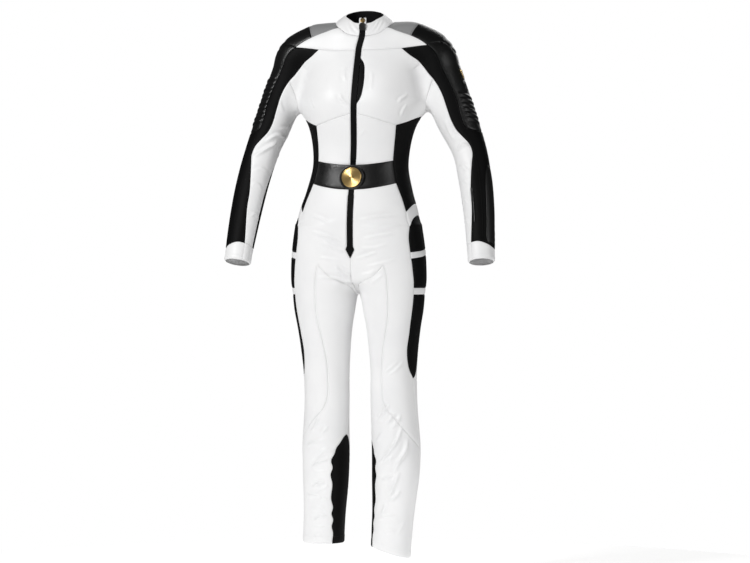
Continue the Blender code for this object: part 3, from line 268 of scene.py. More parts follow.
def form(points):
    """Distance to the suit's outer face, negative inside; the two halves are alike."""
    p = points.reshape(-1, 3).copy()
    p[:, 0] = np.abs(p[:, 0])
    out = body_distance(p)
    low = p[:, 2] < LEGS_BELOW
    if low.any():
        legs = union(leg_distance(p[low]), leg_distance(p[low], -1), BLEND_LEGS)
        out[low] = union(out[low], legs, BLEND_HIP)
    near = (p[:, 2] > ARMS_ABOVE) | (p[:, 0] > ARMS_BEYOND)
    if near.any():
        out[near] = union(out[near], sleeve_distance(p[near]), BLEND_ARM)
    return out.reshape(points.shape[:-1])


def outward(p):
    """Unit normals of the form at p."""
    step = 0.0015
    slope = np.stack([form(p + d) - form(p - d) for d in np.eye(3) * step], -1)
    return unit(slope)


def cast(origin, direction):
    """Where rays that start inside leave the form: steps by distance, then by the secant rule."""
    t = np.full(origin.shape[:-1], 0.012)
    f = form(origin + t[..., None] * direction)
    for _ in range(11):
        t_last, f_last = t, f
        t = t + np.clip(-f, -0.05, 0.06)
        f = form(origin + t[..., None] * direction)
    for _ in range(7):
        change = f - f_last
        safe = np.abs(change) > 1e-12
        step = np.where(safe, -f * (t - t_last) / np.where(safe, change, 1), 0)
        t_last, f_last = t, f
        t = t + np.clip(step, -0.01, 0.01)
        f = form(origin + t[..., None] * direction)
    return origin + t[..., None] * direction

# %% [markdown]
# ## Charts
# To draw seams on a round body one needs two numbers for every place, as latitude and longitude on a
# globe. Each chart sends rays out from an axis inside the suit: level ones for the torso and legs, ones
# square to the arm for a sleeve. A flat copy of the chart, near true to size, is where a panel is filled.

# %% Charts of the body
class Chart:
    """A chart that can be read both ways: from its two values to a point, and back."""

    def values(self, p):
        """The two values of one point."""
        u, v = self.coords(p[None])
        return u[0], v[0]


class Fan(Chart):
    """Level rays from an upright line: u is the turn in degrees from the front, v the height."""

    def __init__(self, x=None, y=0.0):
        self.x, self.y = x, y

    def middle(self, z):
        if self.x is not None:
            return np.full_like(z, self.x)
        return ease((-z - 0.50) / 0.20) * by_height(z, LEG)[..., 0]

    def spread(self, z):
        return np.interp(-z, -SPREAD[:, 0], SPREAD[:, 1])

    def point(self, u, z):
        turn = np.radians(u)
        origin = np.stack([self.middle(z), np.full_like(z, self.y), z], -1)
        return cast(origin, np.stack([np.sin(turn), -np.cos(turn), np.zeros_like(z)], -1))

    def coords(self, p):
        return np.degrees(np.arctan2(p[..., 0] - self.middle(p[..., 2]), self.y - p[..., 1])), p[..., 2]

    def flat(self, u, z):
        return np.radians(u) * self.spread(z), z

    def unflat(self, a, b):
        return np.degrees(a / self.spread(b)), b


class Sleeve(Chart):
    """Rays square to the sleeve's axis: u is the turn from the front, outwards, v the length."""

    def square(self, s):
        middle, along, radius = sleeve_axis(s)
        front = unit(np.array([0, -1.0, 0]) + along * along[..., 1:2])
        return middle, front, np.cross(front, along), radius

    def point(self, u, s):
        middle, front, out, _radius = self.square(s)
        turn = np.radians(u)[..., None]
        return cast(middle, np.cos(turn) * front + np.sin(turn) * out)

    def coords(self, p):
        s = nearest_on_sleeve(p)
        middle, front, out, _radius = self.square(s)
        return np.degrees(np.arctan2(((p - middle) * out).sum(-1), ((p - middle) * front).sum(-1))), s

    def flat(self, u, s):
        return np.radians(u) * self.square(s)[3], s

    def unflat(self, a, b):
        return np.degrees(a / self.square(b)[3]), b


class Straight(Chart):
    """Rays straight forward: u is x, v the height."""

    def coords(self, p):
        return p[..., 0], p[..., 2]

    def flat(self, u, v):
        return u, v

    unflat = flat

    def point(self, u, v):
        origin = np.stack([u, np.full_like(u, 0.005), v], -1)
        return cast(origin, np.broadcast_to(np.array([0, -1.0, 0]), origin.shape))


class Ring:
    """Rays in upright planes: u is the turn in degrees from the front, downwards, v is x."""

    def __init__(self, y, z):
        self.y, self.z = y, z

    def values(self, p):
        turn = math.degrees(math.atan2(self.z - p[2], self.y - p[1]))
        return (turn + 90) % 360 - 90, p[0]

    def point(self, u, v):
        turn = np.radians(u)
        origin = np.stack([v, np.full_like(v, self.y), np.full_like(v, self.z)], -1)
        return cast(origin, np.stack([np.zeros_like(v), -np.cos(turn), -np.sin(turn)], -1))


class Neck:
    """Rays from a point in the neck: u is the turn in degrees from the front, v the climb in degrees."""

    def values(self, p):
        return (math.degrees(math.atan2(p[0], -p[1])),
                math.degrees(math.atan2(p[2] - NECK_FOCUS, math.hypot(p[0], p[1]))))

    def point(self, u, v):
        turn, climb = np.radians(u), np.radians(v)
        origin = np.zeros(u.shape + (3,)) + np.array([0, 0, NECK_FOCUS])
        return cast(origin, np.stack([np.sin(turn) * np.cos(climb), -np.cos(turn) * np.cos(climb),
                                      np.sin(climb)], -1))


CHARTS = {"body": Fan(), "chest": Fan(0.07, 0.02), "back": Fan(0.06, -0.01), "sleeve": Sleeve(),
          "front": Straight(), "armhole": Ring(0.012, -0.14), "crotch": Ring(0.0, -0.60), "neck": Neck()}


# %% [markdown]
# ## Seams
# The cut of the suit is its look: a star-shaped yoke, curved bust seam, side panels, a princess seam that
# swings over the knee, black insets. Corners are placed once and shared, and each seam is a smooth line
# through a few measured places between two corners. The tables are plain text, one row a line: names of
# corners, charts and seams, then figures, and a row that ends in a backslash goes on in the next line.

# %% Corners, seams and pieces
NAMED = {"HEM": HEM, "CUFF_END": CUFF_END, "ZIP_HALF": ZIP_HALF}


def table_rows(text):
    """Rows of a text table: words stay words, named sizes and figures become numbers."""
    return [[NAMED[w] if w in NAMED else w if w[0].isalpha() else float(w) for w in line.split()]
            for line in text.strip().splitlines()]


def pairs(values):
    """1 2 3 4 -> (1, 2), (3, 4)."""
    return list(zip(values[::2], values[1::2]))


# corners where seams meet: chart, then its two values
CORNERS = {name: row for name, *row in table_rows("""
neck_zip front ZIP_HALF -0.0365
neck_grey_front neck 52.9 41.6
neck_grey_back neck 125 47
neck_back neck 180 41
grey_front sleeve 24 0.134
grey_back sleeve 150 0.136
star sleeve 16 0.176
cap_back sleeve 160 0.178
notch front 0.115 -0.07
yoke_zip front ZIP_HALF -0.0735
armhole_front armhole 14 0.2
armpit armhole 90 0.175
armhole_back armhole 143 0.189
underbust_zip front ZIP_HALF -0.248
side_top body 90 -0.252
side_front body 53.5 -0.2785
side_back body 126 -0.279
belt_top_zip front ZIP_HALF -0.3855
belt_top_middle front 0 -0.386
belt_top_side body 57.7 -0.3733
belt_low_zip front ZIP_HALF -0.4515
belt_low_middle front 0 -0.452
belt_low_side body 60 -0.434
side_low_front body 67.5 -0.511
side_low_back body 116 -0.505
waist_side_back body 121 -0.405
waist_back body 180 -0.415
keyhole_top front ZIP_HALF -0.0955
keyhole_low front ZIP_HALF -0.2235
zip_foot front ZIP_HALF -0.604
zip_barb front 0.0118 -0.613
zip_point front 0 -0.636
crotch crotch 92 0
thigh_a_front body 66.5 -0.5504
thigh_a_back body 126 -0.553
thigh_a_low_front body 56 -0.6205
thigh_a_low_back body 131 -0.617
thigh_b_front body 53.7 -0.6375
thigh_b_back body 132 -0.633
thigh_b_low_front body 49.9 -0.7165
thigh_b_low_back body 131 -0.7165
thigh_c_front body 50.1 -0.734
thigh_c_back body 130 -0.734
thigh_tip body 72 -0.962
princess_top body 6.5 -0.655
princess_end body 86 -1.15
knee_inner body -90 -0.958
calf_top body -88 -1.115
calf_hem_front body -55 HEM
calf_hem_back body 225 HEM
hem_side body 86 HEM
patch_foot sleeve 95 0.437
cuff_front sleeve -34 0.742
cuff_side sleeve 95 0.757
cuff_inner sleeve -82 0.745
cuff_end_front sleeve -34 CUFF_END
""")}

# seams: from, to, chart, then the points that the seam passes between its corners
SEAMS = {name: (start, end, chart, pairs(between)) for name, start, end, chart, *between in table_rows("""
neck_front neck_zip neck_grey_front neck 18.9 35.3 32.5 35.9 45.8 39.8
neck_side neck_grey_front neck_grey_back neck 73 46.5 93.7 49.8 110 49.3
neck_rear neck_grey_back neck_back neck 145 43.8 162 41.6
grey_front neck_grey_front grey_front sleeve 30.5 0.1
grey_outer grey_front grey_back sleeve 60 0.139 90 0.14 120 0.139
grey_rear neck_grey_back grey_back sleeve 141 0.1
yoke_outer grey_front star sleeve 21.5 0.147 19 0.163
cap_rear grey_back cap_back sleeve 155 0.157
cap_outer star cap_back sleeve 34 0.186 64 0.199 95 0.204 130 0.197
star_low star notch front 0.147 -0.0655
yoke notch yoke_zip front 0.06 -0.0735
zip_a neck_zip yoke_zip front
zip_b1 yoke_zip keyhole_top front
zip_b2 keyhole_top keyhole_low front
zip_b3 keyhole_low underbust_zip front
zip_c underbust_zip belt_top_zip front
zip_d belt_low_zip zip_foot front
zip_e zip_foot zip_barb front
zip_f zip_barb zip_point front
keyhole keyhole_top keyhole_low front 0.019 -0.112 0.0235 -0.14 0.023 -0.178 0.0178 -0.206
front_centre zip_point crotch crotch 25 0 45 0 68 0
chest_edge notch armhole_front front 0.137 -0.0885 0.158 -0.104 0.1745 -0.1235 0.185 -0.137
armhole_low armhole_front armpit armhole 37 0.19 54 0.182 72 0.177
armhole_rear armpit armhole_back armhole 108 0.177 126 0.182
armhole_up armhole_back cap_back armhole 170 0.191 195 0.188 218 0.181
side armpit side_top body
side_top_front side_front side_top body 66 -0.269 78 -0.259
side_top_rear side_top side_back body 102 -0.258 114 -0.268
underbust side_front underbust_zip front 0.075 -0.268 0.04 -0.257
side_a side_front belt_top_side body 56 -0.31 57.5 -0.345
side_b belt_top_side belt_low_side body 59 -0.405
side_c belt_low_side side_low_front body 64.6 -0.4695
side_d side_low_front side_low_back body 75 -0.4985 90 -0.488 103 -0.491
side_e side_back waist_side_back body 123 -0.33
side_f waist_side_back side_low_back body 119 -0.455
belt_top belt_top_side belt_top_zip body 40 -0.3795 20 -0.384
belt_top_end belt_top_zip belt_top_middle front
belt_low belt_low_side belt_low_zip body 42 -0.443 20 -0.45
belt_low_end belt_low_zip belt_low_middle front
belt_middle belt_top_middle belt_low_middle front
waist_rear waist_side_back waist_back body 150 -0.412
back_centre neck_back waist_back body 180 -0.06 180 -0.2
seat_centre waist_back crotch crotch 192 0 170 0 145 0 115 0
hip_front side_low_front thigh_a_front body
thigh_a_top thigh_a_front thigh_a_back body 76.4 -0.5286 94.7 -0.519 112 -0.53
thigh_a_fore thigh_a_front thigh_a_low_front body 61.6 -0.5774
thigh_a_rear thigh_a_back thigh_a_low_back body 129.5 -0.58
thigh_a_low thigh_a_low_front thigh_a_low_back body 78 -0.616 100 -0.611
band_a_front thigh_a_low_front thigh_b_front body
thigh_b_top thigh_b_front thigh_b_back body 78 -0.632 101 -0.627
thigh_b_fore thigh_b_front thigh_b_low_front body 49.8 -0.68
thigh_b_rear thigh_b_back thigh_b_low_back body
thigh_b_low thigh_b_low_front thigh_b_low_back body
band_b_front thigh_b_low_front thigh_c_front body
thigh_c_top thigh_c_front thigh_c_back body
thigh_c_fore thigh_c_front thigh_tip body 47.6 -0.783 44.6 -0.84 42 -0.89 44.5 -0.91 53 -0.938
thigh_c_rear thigh_c_back thigh_tip body 126 -0.8 118 -0.87 105 -0.925 89 -0.952
outer_seam thigh_tip princess_end body 78 -1.02 84 -1.09
outer_low princess_end hem_side body
lap crotch princess_top body -87 -0.735 -80 -0.7327 -70 -0.7255 -62 -0.7192 -55.3 -0.7145 -41.4 -0.7065 \
    -31.2 -0.6975 -19.5 -0.688
princess princess_top princess_end body 4.5 -0.683 3.5 -0.73 3 -0.769 0.3 -0.8076 -5.3 -0.849 -11.2 -0.891 \
    -14.8 -0.935 -15.5 -0.975 -13 -1.016 -6 -1.04 11 -1.066 31.7 -1.0946 60 -1.128
inner_seam crotch knee_inner body -90 -0.765 -90 -0.9
inner_low knee_inner calf_top body -89 -1
knee_rear thigh_tip knee_inner body 118 -0.968 180 -0.974 235 -0.966
calf_fore calf_top calf_hem_front body -77 -1.12 -67 -1.138 -54 -1.155 -47 -1.178 -46 -1.21 -47 -1.26 -50 \
    -1.31 -53 -1.365
calf_rear calf_top calf_hem_back body -100 -1.12 -118 -1.14 -130 -1.17 -134 -1.23 -135 -1.33
hem_fore calf_hem_front hem_side body 0 HEM
hem_rear hem_side calf_hem_back body 130 HEM 180 HEM
hem_calf calf_hem_front calf_hem_back body -90 HEM
patch_fore star patch_foot sleeve 16 0.2 20 0.25 26.5 0.31 27 0.35 22 0.39 24 0.418 50 0.434
patch_rear cap_back patch_foot sleeve 160 0.22 157 0.3 155 0.37 153 0.412 130 0.432
sleeve_edge armhole_front cuff_front sleeve -8.5 0.284 -6 0.305 -7.5 0.348 -10 0.388 -7 0.418 3 0.443 15.5 \
    0.47 17.5 0.493 8 0.522 -2 0.555 -12.5 0.6 -15.5 0.64 -25 0.695
sleeve_rear armhole_back cuff_inner sleeve -160 0.3 -150 0.36 -138 0.42 -110 0.485 -88 0.54 -80 0.6 -80 \
    0.67
sleeve_outer patch_foot cuff_side sleeve 95 0.6
cuff_a cuff_front cuff_side sleeve -4 0.7415 37 0.749 75 0.756
cuff_b cuff_side cuff_inner sleeve 140 0.756 190 0.753 240 0.748
cuff_c cuff_inner cuff_front sleeve -60 0.743
cuff_slit cuff_front cuff_end_front sleeve
cuff_rim cuff_end_front cuff_end_front sleeve 30 CUFF_END 95 CUFF_END 160 CUFF_END 225 CUFF_END 280 \
    CUFF_END
""")}

# pieces of one half: chart that they are filled in, finish, sides, then the seams round them in order
PIECES = {name: (chart, finish, sides, loop) for name, chart, finish, sides, *loop in table_rows("""
yoke_front chest white LR neck_front grey_front yoke_outer star_low yoke zip_a
shoulder_insert sleeve grey LR neck_side grey_rear grey_outer grey_front
shoulder_cap sleeve cap LR grey_outer cap_rear cap_outer yoke_outer
chest_front_L chest white L chest_edge armhole_low side side_top_front underbust zip_b3 keyhole zip_b1 \
    yoke
chest_front_R chest white R chest_edge armhole_low side side_top_front underbust zip_b3 zip_b2 zip_b1 yoke
underlap front black L keyhole zip_b2
waist_front body white LR side_a belt_top zip_c underbust
side_body body black LR side_top_front side_top_rear side_e side_f side_d side_c side_b side_a
belt body leather LR belt_top belt_top_end belt_middle belt_low_end belt_low side_b
back_bodice back white LR neck_rear back_centre waist_rear side_e side_top_rear side armhole_rear \
    armhole_up cap_rear grey_rear
leg_front body white LR belt_low side_c hip_front thigh_a_fore band_a_front thigh_b_fore band_b_front \
    thigh_c_fore outer_seam princess lap front_centre zip_f zip_e zip_d
leg_inner body white LR lap princess outer_low hem_fore calf_fore inner_low inner_seam
leg_back body white LR waist_rear seat_centre inner_seam knee_rear thigh_c_rear thigh_c_top band_b_front \
    thigh_b_low thigh_b_rear thigh_b_top band_a_front thigh_a_low thigh_a_rear thigh_a_top hip_front \
    side_d side_f
calf_back body white LR knee_rear inner_low calf_rear hem_rear outer_low outer_seam
calf_inner body black LR calf_fore hem_calf calf_rear
thigh_a body black LR thigh_a_top thigh_a_rear thigh_a_low thigh_a_fore
thigh_b body black LR thigh_b_top thigh_b_rear thigh_b_low thigh_b_fore
thigh_c body black LR thigh_c_top thigh_c_rear thigh_c_fore
sleeve_patch sleeve leather LR cap_outer patch_rear patch_fore
sleeve_front sleeve black LR patch_fore sleeve_outer cuff_a sleeve_edge chest_edge star_low
sleeve_under sleeve white LR sleeve_edge cuff_c sleeve_rear armhole_rear armhole_low
sleeve_back sleeve black LR patch_rear sleeve_outer cuff_b sleeve_rear armhole_up
cuff sleeve white LR cuff_a cuff_b cuff_c cuff_slit cuff_rim cuff_slit
""")}

# %% [markdown]
# The wearer stands a little unevenly. The form is symmetrical, and this last step bends it: the hems are
# set one by one, the right calf is turned out, the head is turned, and the whole body leans slightly.

# %% The stance
HEM_RISE_R, HEM_RISE_L = 0.021, (0.013, -0.018)      # right hem, left hem's inner and outer side
CALF_TURN, NECK_TURN = -17.0, 6.5                    # degrees
MIRROR = {"L": np.array([1, 1, 1]), "R": np.array([-1, 1, 1])}


def pose(points):
    """The suit as it stands: hems set leg by leg, the right calf turned out, the neck turned, the lean."""
    x, y, z = points.T.copy()
    low = ease((-z - 1.20) / 0.23)
    z = z + low * np.where(x < 0, HEM_RISE_R, np.interp(x, (0.05, 0.15), HEM_RISE_L))
    middle = -by_height(z, LEG)[:, 0]
    turn = math.radians(CALF_TURN) * ease((-z - 1.02) / 0.16) * (x < 0)
    dx = x - middle
    x, y = (np.where(x < 0, middle + dx * np.cos(turn) - y * np.sin(turn), x),
            dx * np.sin(turn) + y * np.cos(turn))
    turn = math.radians(NECK_TURN) * ease((z + 0.075) / 0.05) * (1 - ease((np.hypot(x, y) - 0.075) / 0.05))
    x, y = x * np.cos(turn) - y * np.sin(turn), x * np.sin(turn) + y * np.cos(turn)
    lean = by_height(z, LEAN)[:, 0]
    on_arm = np.clip((np.abs(x) - 0.20) / 0.05, 0, 1) * (z > -0.75)
    return np.stack([x + lean + (LEAN[0, 1] - lean) * on_arm, y, z], -1)

# %% [markdown]
# A seam is sampled once and used by both of its neighbours, so they meet point for point.

# %% Sample the seams
def corner(name):
    chart, u, v = CORNERS[name]
    return CHARTS[chart].point(np.array([u]), np.array([v]))[0]


def even_points(chart, rows, spacing, samples, least=1, knots=None):
    """Evenly spaced points on the form, along a smooth line through rows of chart values."""
    t = np.linspace(0, 1, samples)
    knots = np.linspace(0, 1, len(rows)) if knots is None else knots
    run = run_along(chart.point(*smooth_curve(t, knots, rows).T))
    count = max(least, round(run[-1] / spacing))
    t = np.interp(np.linspace(0, run[-1], count + 1), run, t)
    return chart.point(*smooth_curve(t, knots, rows).T)


def sample_seam(name, facet):
    """Points on the form along a seam, about a facet's length apart, from corner to corner."""
    start, end, chart_name, between = SEAMS[name]
    chart = CHARTS[chart_name]
    ends = [corner(start), corner(end)]
    rows = np.array([chart_values(chart, ends[0], CORNERS[start], chart_name), *between,
                     chart_values(chart, ends[1], CORNERS[end], chart_name)], float)
    if hasattr(chart, "coords"):
        rows[:, 0] = unwrapped(rows[:, 0])
    knots = np.linspace(0, 1, len(rows))
    if len(rows) > 2:
        knots = run_along(chart.point(*rows.T))
        knots = knots / knots[-1]
    points = even_points(chart, rows, facet, 161, 1, knots)
    points[0], points[-1] = ends
    return points


def chart_values(chart, point, row, chart_name):
    """A corner's two values in a seam's chart."""
    return row[1:] if row[0] == chart_name else chart.values(point)


def loop_points(names, seams):
    """Points once round a piece, its seams turned so that each starts where the last one ended."""
    parts = [seams[name] for name in names]
    first = parts[0]
    if not np.allclose(first[-1], parts[1][0]) and not np.allclose(first[-1], parts[1][-1]):
        first = first[::-1]
    out = [first]
    for part in parts[1:]:
        closed = np.allclose(part[0], part[-1])
        forward = np.allclose(out[-1][-1], part[0]) and not closed
        out.append(part if forward else part[::-1])
    return np.concatenate([part[:-1] for part in out])


def seam_set(spacing):
    """All seams; the calf's front seam is drawn up by its thread, which leaves small scallops."""
    seams = {name: sample_seam(name, spacing) for name in SEAMS}
    body = CHARTS["body"]
    turn, down = body.coords(seams["calf_fore"][1:-1])
    wave = np.sin(math.tau * down / 0.052 + 1.3 * np.sin(down * 37)) * ease((down - HEM) / 0.03)
    seams["calf_fore"][1:-1] = body.point(turn + 2.4 * wave, down)
    return seams


SEAM_POINTS = seam_set(SPACING)
print("seams:", len(SEAM_POINTS), "points:", sum(len(p) for p in SEAM_POINTS.values()))


# %% [markdown]
# ## Creases
# Cloth that is pulled or pushed together buckles into soft ridges with a shadow beside them. Each crease
# below is given: where it runs on the body, how wide and how high it is. A simulation would give
# other folds each time; a table keeps the ones that matter. A ridge rises over its line, sinks a
# little on one side, and dies out at both ends.

# %% The table of creases
# by chart and sides: half width and height in mm, then the places that a crease passes
CREASES = [[*head.split(), *row] for head, rows in {
    "body R": """
3.4 3.2 7 -0.226 14 -0.211 18 -0.195
3.2 2.2 6 -0.268 10 -0.258 13 -0.244
3 1.8 47 -0.232 50 -0.217 53 -0.202
4 1.8 12 -0.161 17 -0.142 17 -0.122
3.5 2.4 52 -0.519 36 -0.531 24 -0.542
3.5 3.5 42 -0.565 26 -0.574 4 -0.588 -16 -0.603
3.2 3.2 21 -0.592 4 -0.606 -16 -0.617 -24 -0.623
3.5 2.4 10 -0.634 -6 -0.638 -24 -0.642
3.5 5.4 -20 -0.658 -29 -0.671 -39 -0.68 -45 -0.689
3.5 5.6 0 -0.687 -25 -0.691 -41 -0.7 -63 -0.713
3.2 3.7 16 -1.108 8 -1.087 3 -1.071
3.6 3.7 -12 -1.11 -23 -1.092
4 4.1 25 -1.144 1 -1.135 -24 -1.13
4.5 3.4 -8 -1.172 -28 -1.155 -50 -1.158
3.5 5.6 9 -1.204 -16 -1.186 -36 -1.182
3.5 2.3 4 -1.25 -12 -1.247
3.5 5.1 4 -1.262 -10 -1.25 -28 -1.244
3.5 3.2 -12 -1.275 -38 -1.254
4 2.8 25 -1.287 -10 -1.286
4 3.2 -22 -1.302 -38 -1.298
4.2 3.9 1 -1.367 -19 -1.354 -37 -1.35
4.5 2.8 -6 -1.413 -23 -1.406
4 2.1 1 -1.218 -30 -1.213
4 1.8 10 -1.329 -30 -1.322
4 1.8 4 -1.387 -34 -1.381
4 1.3 195 -0.905 228 -0.915
4.2 1.5 150 -1.12 180 -1.16 200 -1.17
4 1.5 125 -1.19 155 -1.215 195 -1.22
4 1.4 140 -1.27 175 -1.265 205 -1.29
4 1.1 130 -1.34 165 -1.33 190 -1.35
4 0.9 135 -0.655 160 -0.67
4.5 0.83 150 -0.305 172 -0.298
""",
    "body L": """
3.4 2.8 60 -0.197 53 -0.208 49 -0.22
3.2 1.8 59 -0.224 56 -0.238 56 -0.256
4 1.8 23 -0.134 22 -0.161 20 -0.186
3.2 1.4 17 -0.289 12 -0.3 10 -0.31
3.2 3 57 -0.521 35 -0.525 10 -0.534
3.5 2.4 57 -0.548 36 -0.554 8 -0.551
3.5 3.5 48 -0.569 25 -0.577 4 -0.583
3.5 2.4 32 -0.598 10 -0.609 -10 -0.61
3.2 4.6 9 -0.621 -11 -0.631 -26 -0.638
3.5 2.4 31 -0.64 6 -0.65 -20 -0.66
3.5 2.7 -10 -0.669 -20 -0.677 -32 -0.682
4 3.2 0 -0.68 -14 -0.696 -22 -0.707
3 2.3 20 -0.918 2 -0.934 -7 -0.946
3 2.8 33 -0.916 15 -0.939 0 -0.954
3.6 5.6 3 -1.031 -13 -1.053 -28 -1.079
3.8 4.1 15 -1.054 2 -1.071 -7 -1.086
3.8 3.7 28 -1.056 18 -1.079 0 -1.098
3.6 5.6 31 -1.085 17 -1.126 -4 -1.16 -30 -1.19
4.5 5.6 42 -1.122 35 -1.155 20 -1.185 9 -1.218
4 3 8 -1.168 -14 -1.192
4 3.7 11 -1.217 -22 -1.238
5 5.5 22 -1.212 10 -1.246 -3 -1.282
3.6 4.6 27 -1.262 15 -1.278 -4 -1.297
4.6 4.1 -9 -1.299 -23 -1.337
4 3.9 21 -1.325 -5 -1.334 -34 -1.347
4 2.3 24 -1.362 -9 -1.38
4 2.3 45 -1.34 24 -1.378
4 2.3 -14 -1.104 -39 -1.13
4 1.2 130 -0.9 165 -0.905
4.2 1.7 140 -1.15 160 -1.185 178 -1.235
4 1.4 195 -1.19 180 -1.24 160 -1.275
4 1.5 130 -1.27 160 -1.31 185 -1.32
4 1.1 200 -1.33 170 -1.365
4 0.9 130 -0.64 150 -0.665 172 -0.68
4.5 0.83 140 -0.3 165 -0.312
""",
    "sleeve R": """
4.4 5.1 8 0.501 -15 0.477 -31 0.455 -53 0.435
3.6 3.6 -12 0.45 -27 0.423 -49 0.409 -92 0.408
4 2.2 -7 0.316 -16 0.333 -30 0.346
3.6 2.2 -37 0.394 -59 0.386 -84 0.37
3.6 2.1 -9 0.539 -30 0.526 -64 0.529
3.6 1.8 -13 0.581 -31 0.571 -58 0.582
3.4 2 -33 0.668 -51 0.655 -87 0.665
""",
    "sleeve L": """
4.4 4.5 12 0.478 -7 0.464 -33 0.474
3.8 3.3 -32 0.436 -29 0.405 -25 0.376
4 3.6 -12 0.544 -30 0.526 -65 0.528
3.6 2.2 -6 0.434 -13 0.405 -13 0.378
3.4 2.1 -15 0.584 -31 0.567 -59 0.57
3.4 2.1 -29 0.636 -46 0.618 -68 0.624
3.4 1.8 -33 0.694 -54 0.675 -70 0.686
""",
    "sleeve LR": """
4.2 1.7 -100 0.395 -128 0.412 -150 0.42
4 1.4 -95 0.455 -120 0.468 -140 0.462
4.4 1.4 180 0.455 205 0.47 232 0.462
4 1 170 0.5 198 0.512 225 0.5
""",
    "body LR": """
4.5 2 150 -0.935 180 -0.955 212 -0.945
4 1.5 160 -0.985 190 -0.975 220 -0.99
4.2 1.7 140 -1.01 172 -1 200 -1.022
4 1.2 165 -1.05 195 -1.04
5 1.8 135 -0.7 165 -0.725 205 -0.735
4.5 1.2 150 -0.765 185 -0.775
4.5 0.98 140 -0.365 165 -0.372 178 -0.37
4.5 1.1 135 -0.335 155 -0.345 176 -0.34
4 0.83 130 -0.43 160 -0.44
""",
}.items() for row in table_rows(rows)]

# %% Raise the creases
def crease_line(chart_name, places, count=25):
    """A smooth line on the form through places given in a chart."""
    places = np.array(pairs(places))
    t = np.linspace(0, 1, count)
    if len(places) == 2:
        path = places[0] + t[:, None] * (places[1] - places[0])
    else:
        path = smooth_curve(t, np.linspace(0, 1, len(places)), places)
    return CHARTS[chart_name].point(*path.T)


def along_line(points, line):
    """From each point to a line: the distance, the share of its length there, its way and the offset."""
    start, step = line[:-1], np.diff(line, axis=0)
    share = ((points[:, None] - start) * step).sum(-1) / (step * step).sum(-1)
    share = np.clip(share, 0, 1)
    gap = points[:, None] - start - share[..., None] * step
    far = (gap * gap).sum(-1)
    near = far.argmin(1)
    row = np.arange(len(points))
    return np.sqrt(far[row, near]), (near + share[row, near]) / len(step), step[near], gap[row, near]


CREASE_LINES = [(sides, wide / 1000, high / 1000, crease_line(chart, places))
                for chart, sides, wide, high, *places in CREASES]


def creases(points, normals, side):
    """Height of all creases of one side: h = high * (exp(-(s/w)^2) - 0.5 exp(-((s - 2w)/(1.4w))^2)) * taper,
    with s the distance from the line, counted as positive on its right."""
    height = np.zeros(len(points))
    for sides, wide, high, line in CREASE_LINES:
        if side not in sides:
            continue
        reach = 5 * wide
        close = ((points > line.min(0) - reach) & (points < line.max(0) + reach)).all(1)
        if not close.any():
            continue
        far, share, way, gap = along_line(points[close], line)
        right = (np.cross(way, gap) * normals[close]).sum(-1) < 0
        s = np.where(right, far, -far)
        taper = np.clip(1 - np.abs(2 * share - 1)**3, 0, 1)
        ridge = np.exp(-(s / wide)**2) - 0.5 * np.exp(-((s - 2 * wide) / (1.4 * wide))**2)
        height[close] += high * taper * ridge
    return height


WAVES = 14
DRIFT = np.random.default_rng(7).normal(size=(WAVES, 3)) * [34.0, 34.0, 20.0]      # radians a metre
DRIFT_SPREAD = 3.7      # brings the sum of the waves to about 1
DRIFT_START = np.random.default_rng(8).uniform(0, math.tau, WAVES)


def drift(points):
    """Slow unevenness of cloth: fourteen sine waves in chance directions, together about -1 to 1."""
    return np.sin(points @ DRIFT.T + DRIFT_START).sum(-1) / DRIFT_SPREAD

# %% [markdown]
# ## Panels
# A panel is filled with points in its flat chart: two rows close to the edge, where the cloth rolls into
# the seam, and an even grid inside. Delaunay triangulation joins them, and each point is sent out onto the
# form. A wall is that face and a copy of it further in, closed round the edge.

# %% Fill a panel
CHUNK = 3000                      # points compared with an outline at a time
MITRE_FLAT, MITRE_BODY = 0.3, 0.12      # how sharp a corner may get before its mitre is cut short
EDGE_ROWS = (0.0014, 0.0040)      # rows of points next to a panel's edge
EDGE_FREE = 0.5                   # room between those rows and the grid, in spacings


def inside(points, polygon):
    """Which points lie inside the polygon, by counting crossings."""
    ax, ay = polygon.T
    bx, by = np.roll(polygon, -1, axis=0).T
    result = []
    for part in np.array_split(points, len(points) // CHUNK + 1):
        x, y = part[:, :1], part[:, 1:]
        at = ax + (y - ay) * (bx - ax) / np.where(by == ay, 1e-12, by - ay)
        result.append((((ay > y) != (by > y)) & (x < at)).sum(1) % 2 == 1)
    return np.concatenate(result)


def edge_distance(points, polygon):
    """Distance to the polygon's edge, and how far round the edge its nearest place is."""
    step = np.roll(polygon, -1, axis=0) - polygon
    length = np.maximum(np.linalg.norm(step, axis=1), 1e-9)
    run = np.r_[0, np.cumsum(length)[:-1]]
    far, place = [], []
    for part in np.array_split(points, len(points) // CHUNK + 1):
        share = np.clip(((part[:, None] - polygon) * step).sum(-1) / length**2, 0, 1)
        gap = part[:, None] - polygon - share[..., None] * step
        square = (gap * gap).sum(-1)
        near = square.argmin(1)
        row = np.arange(len(part))
        far.append(np.sqrt(square[row, near]))
        place.append(run[near] + share[row, near] * length[near])
    return np.concatenate(far), np.concatenate(place)


def offset_ring(polygon, amount, turn):
    """The polygon drawn in by an amount, corners mitred."""
    before = polygon - np.roll(polygon, 1, axis=0)
    after = np.roll(before, -1, axis=0)
    half = sum(np.stack([-run[:, 1], run[:, 0]], -1) * turn
               / np.maximum(np.linalg.norm(run, axis=1), 1e-9)[:, None] for run in (before, after))
    return polygon + half * 2 * amount / np.maximum((half * half).sum(1, keepdims=True), MITRE_FLAT)


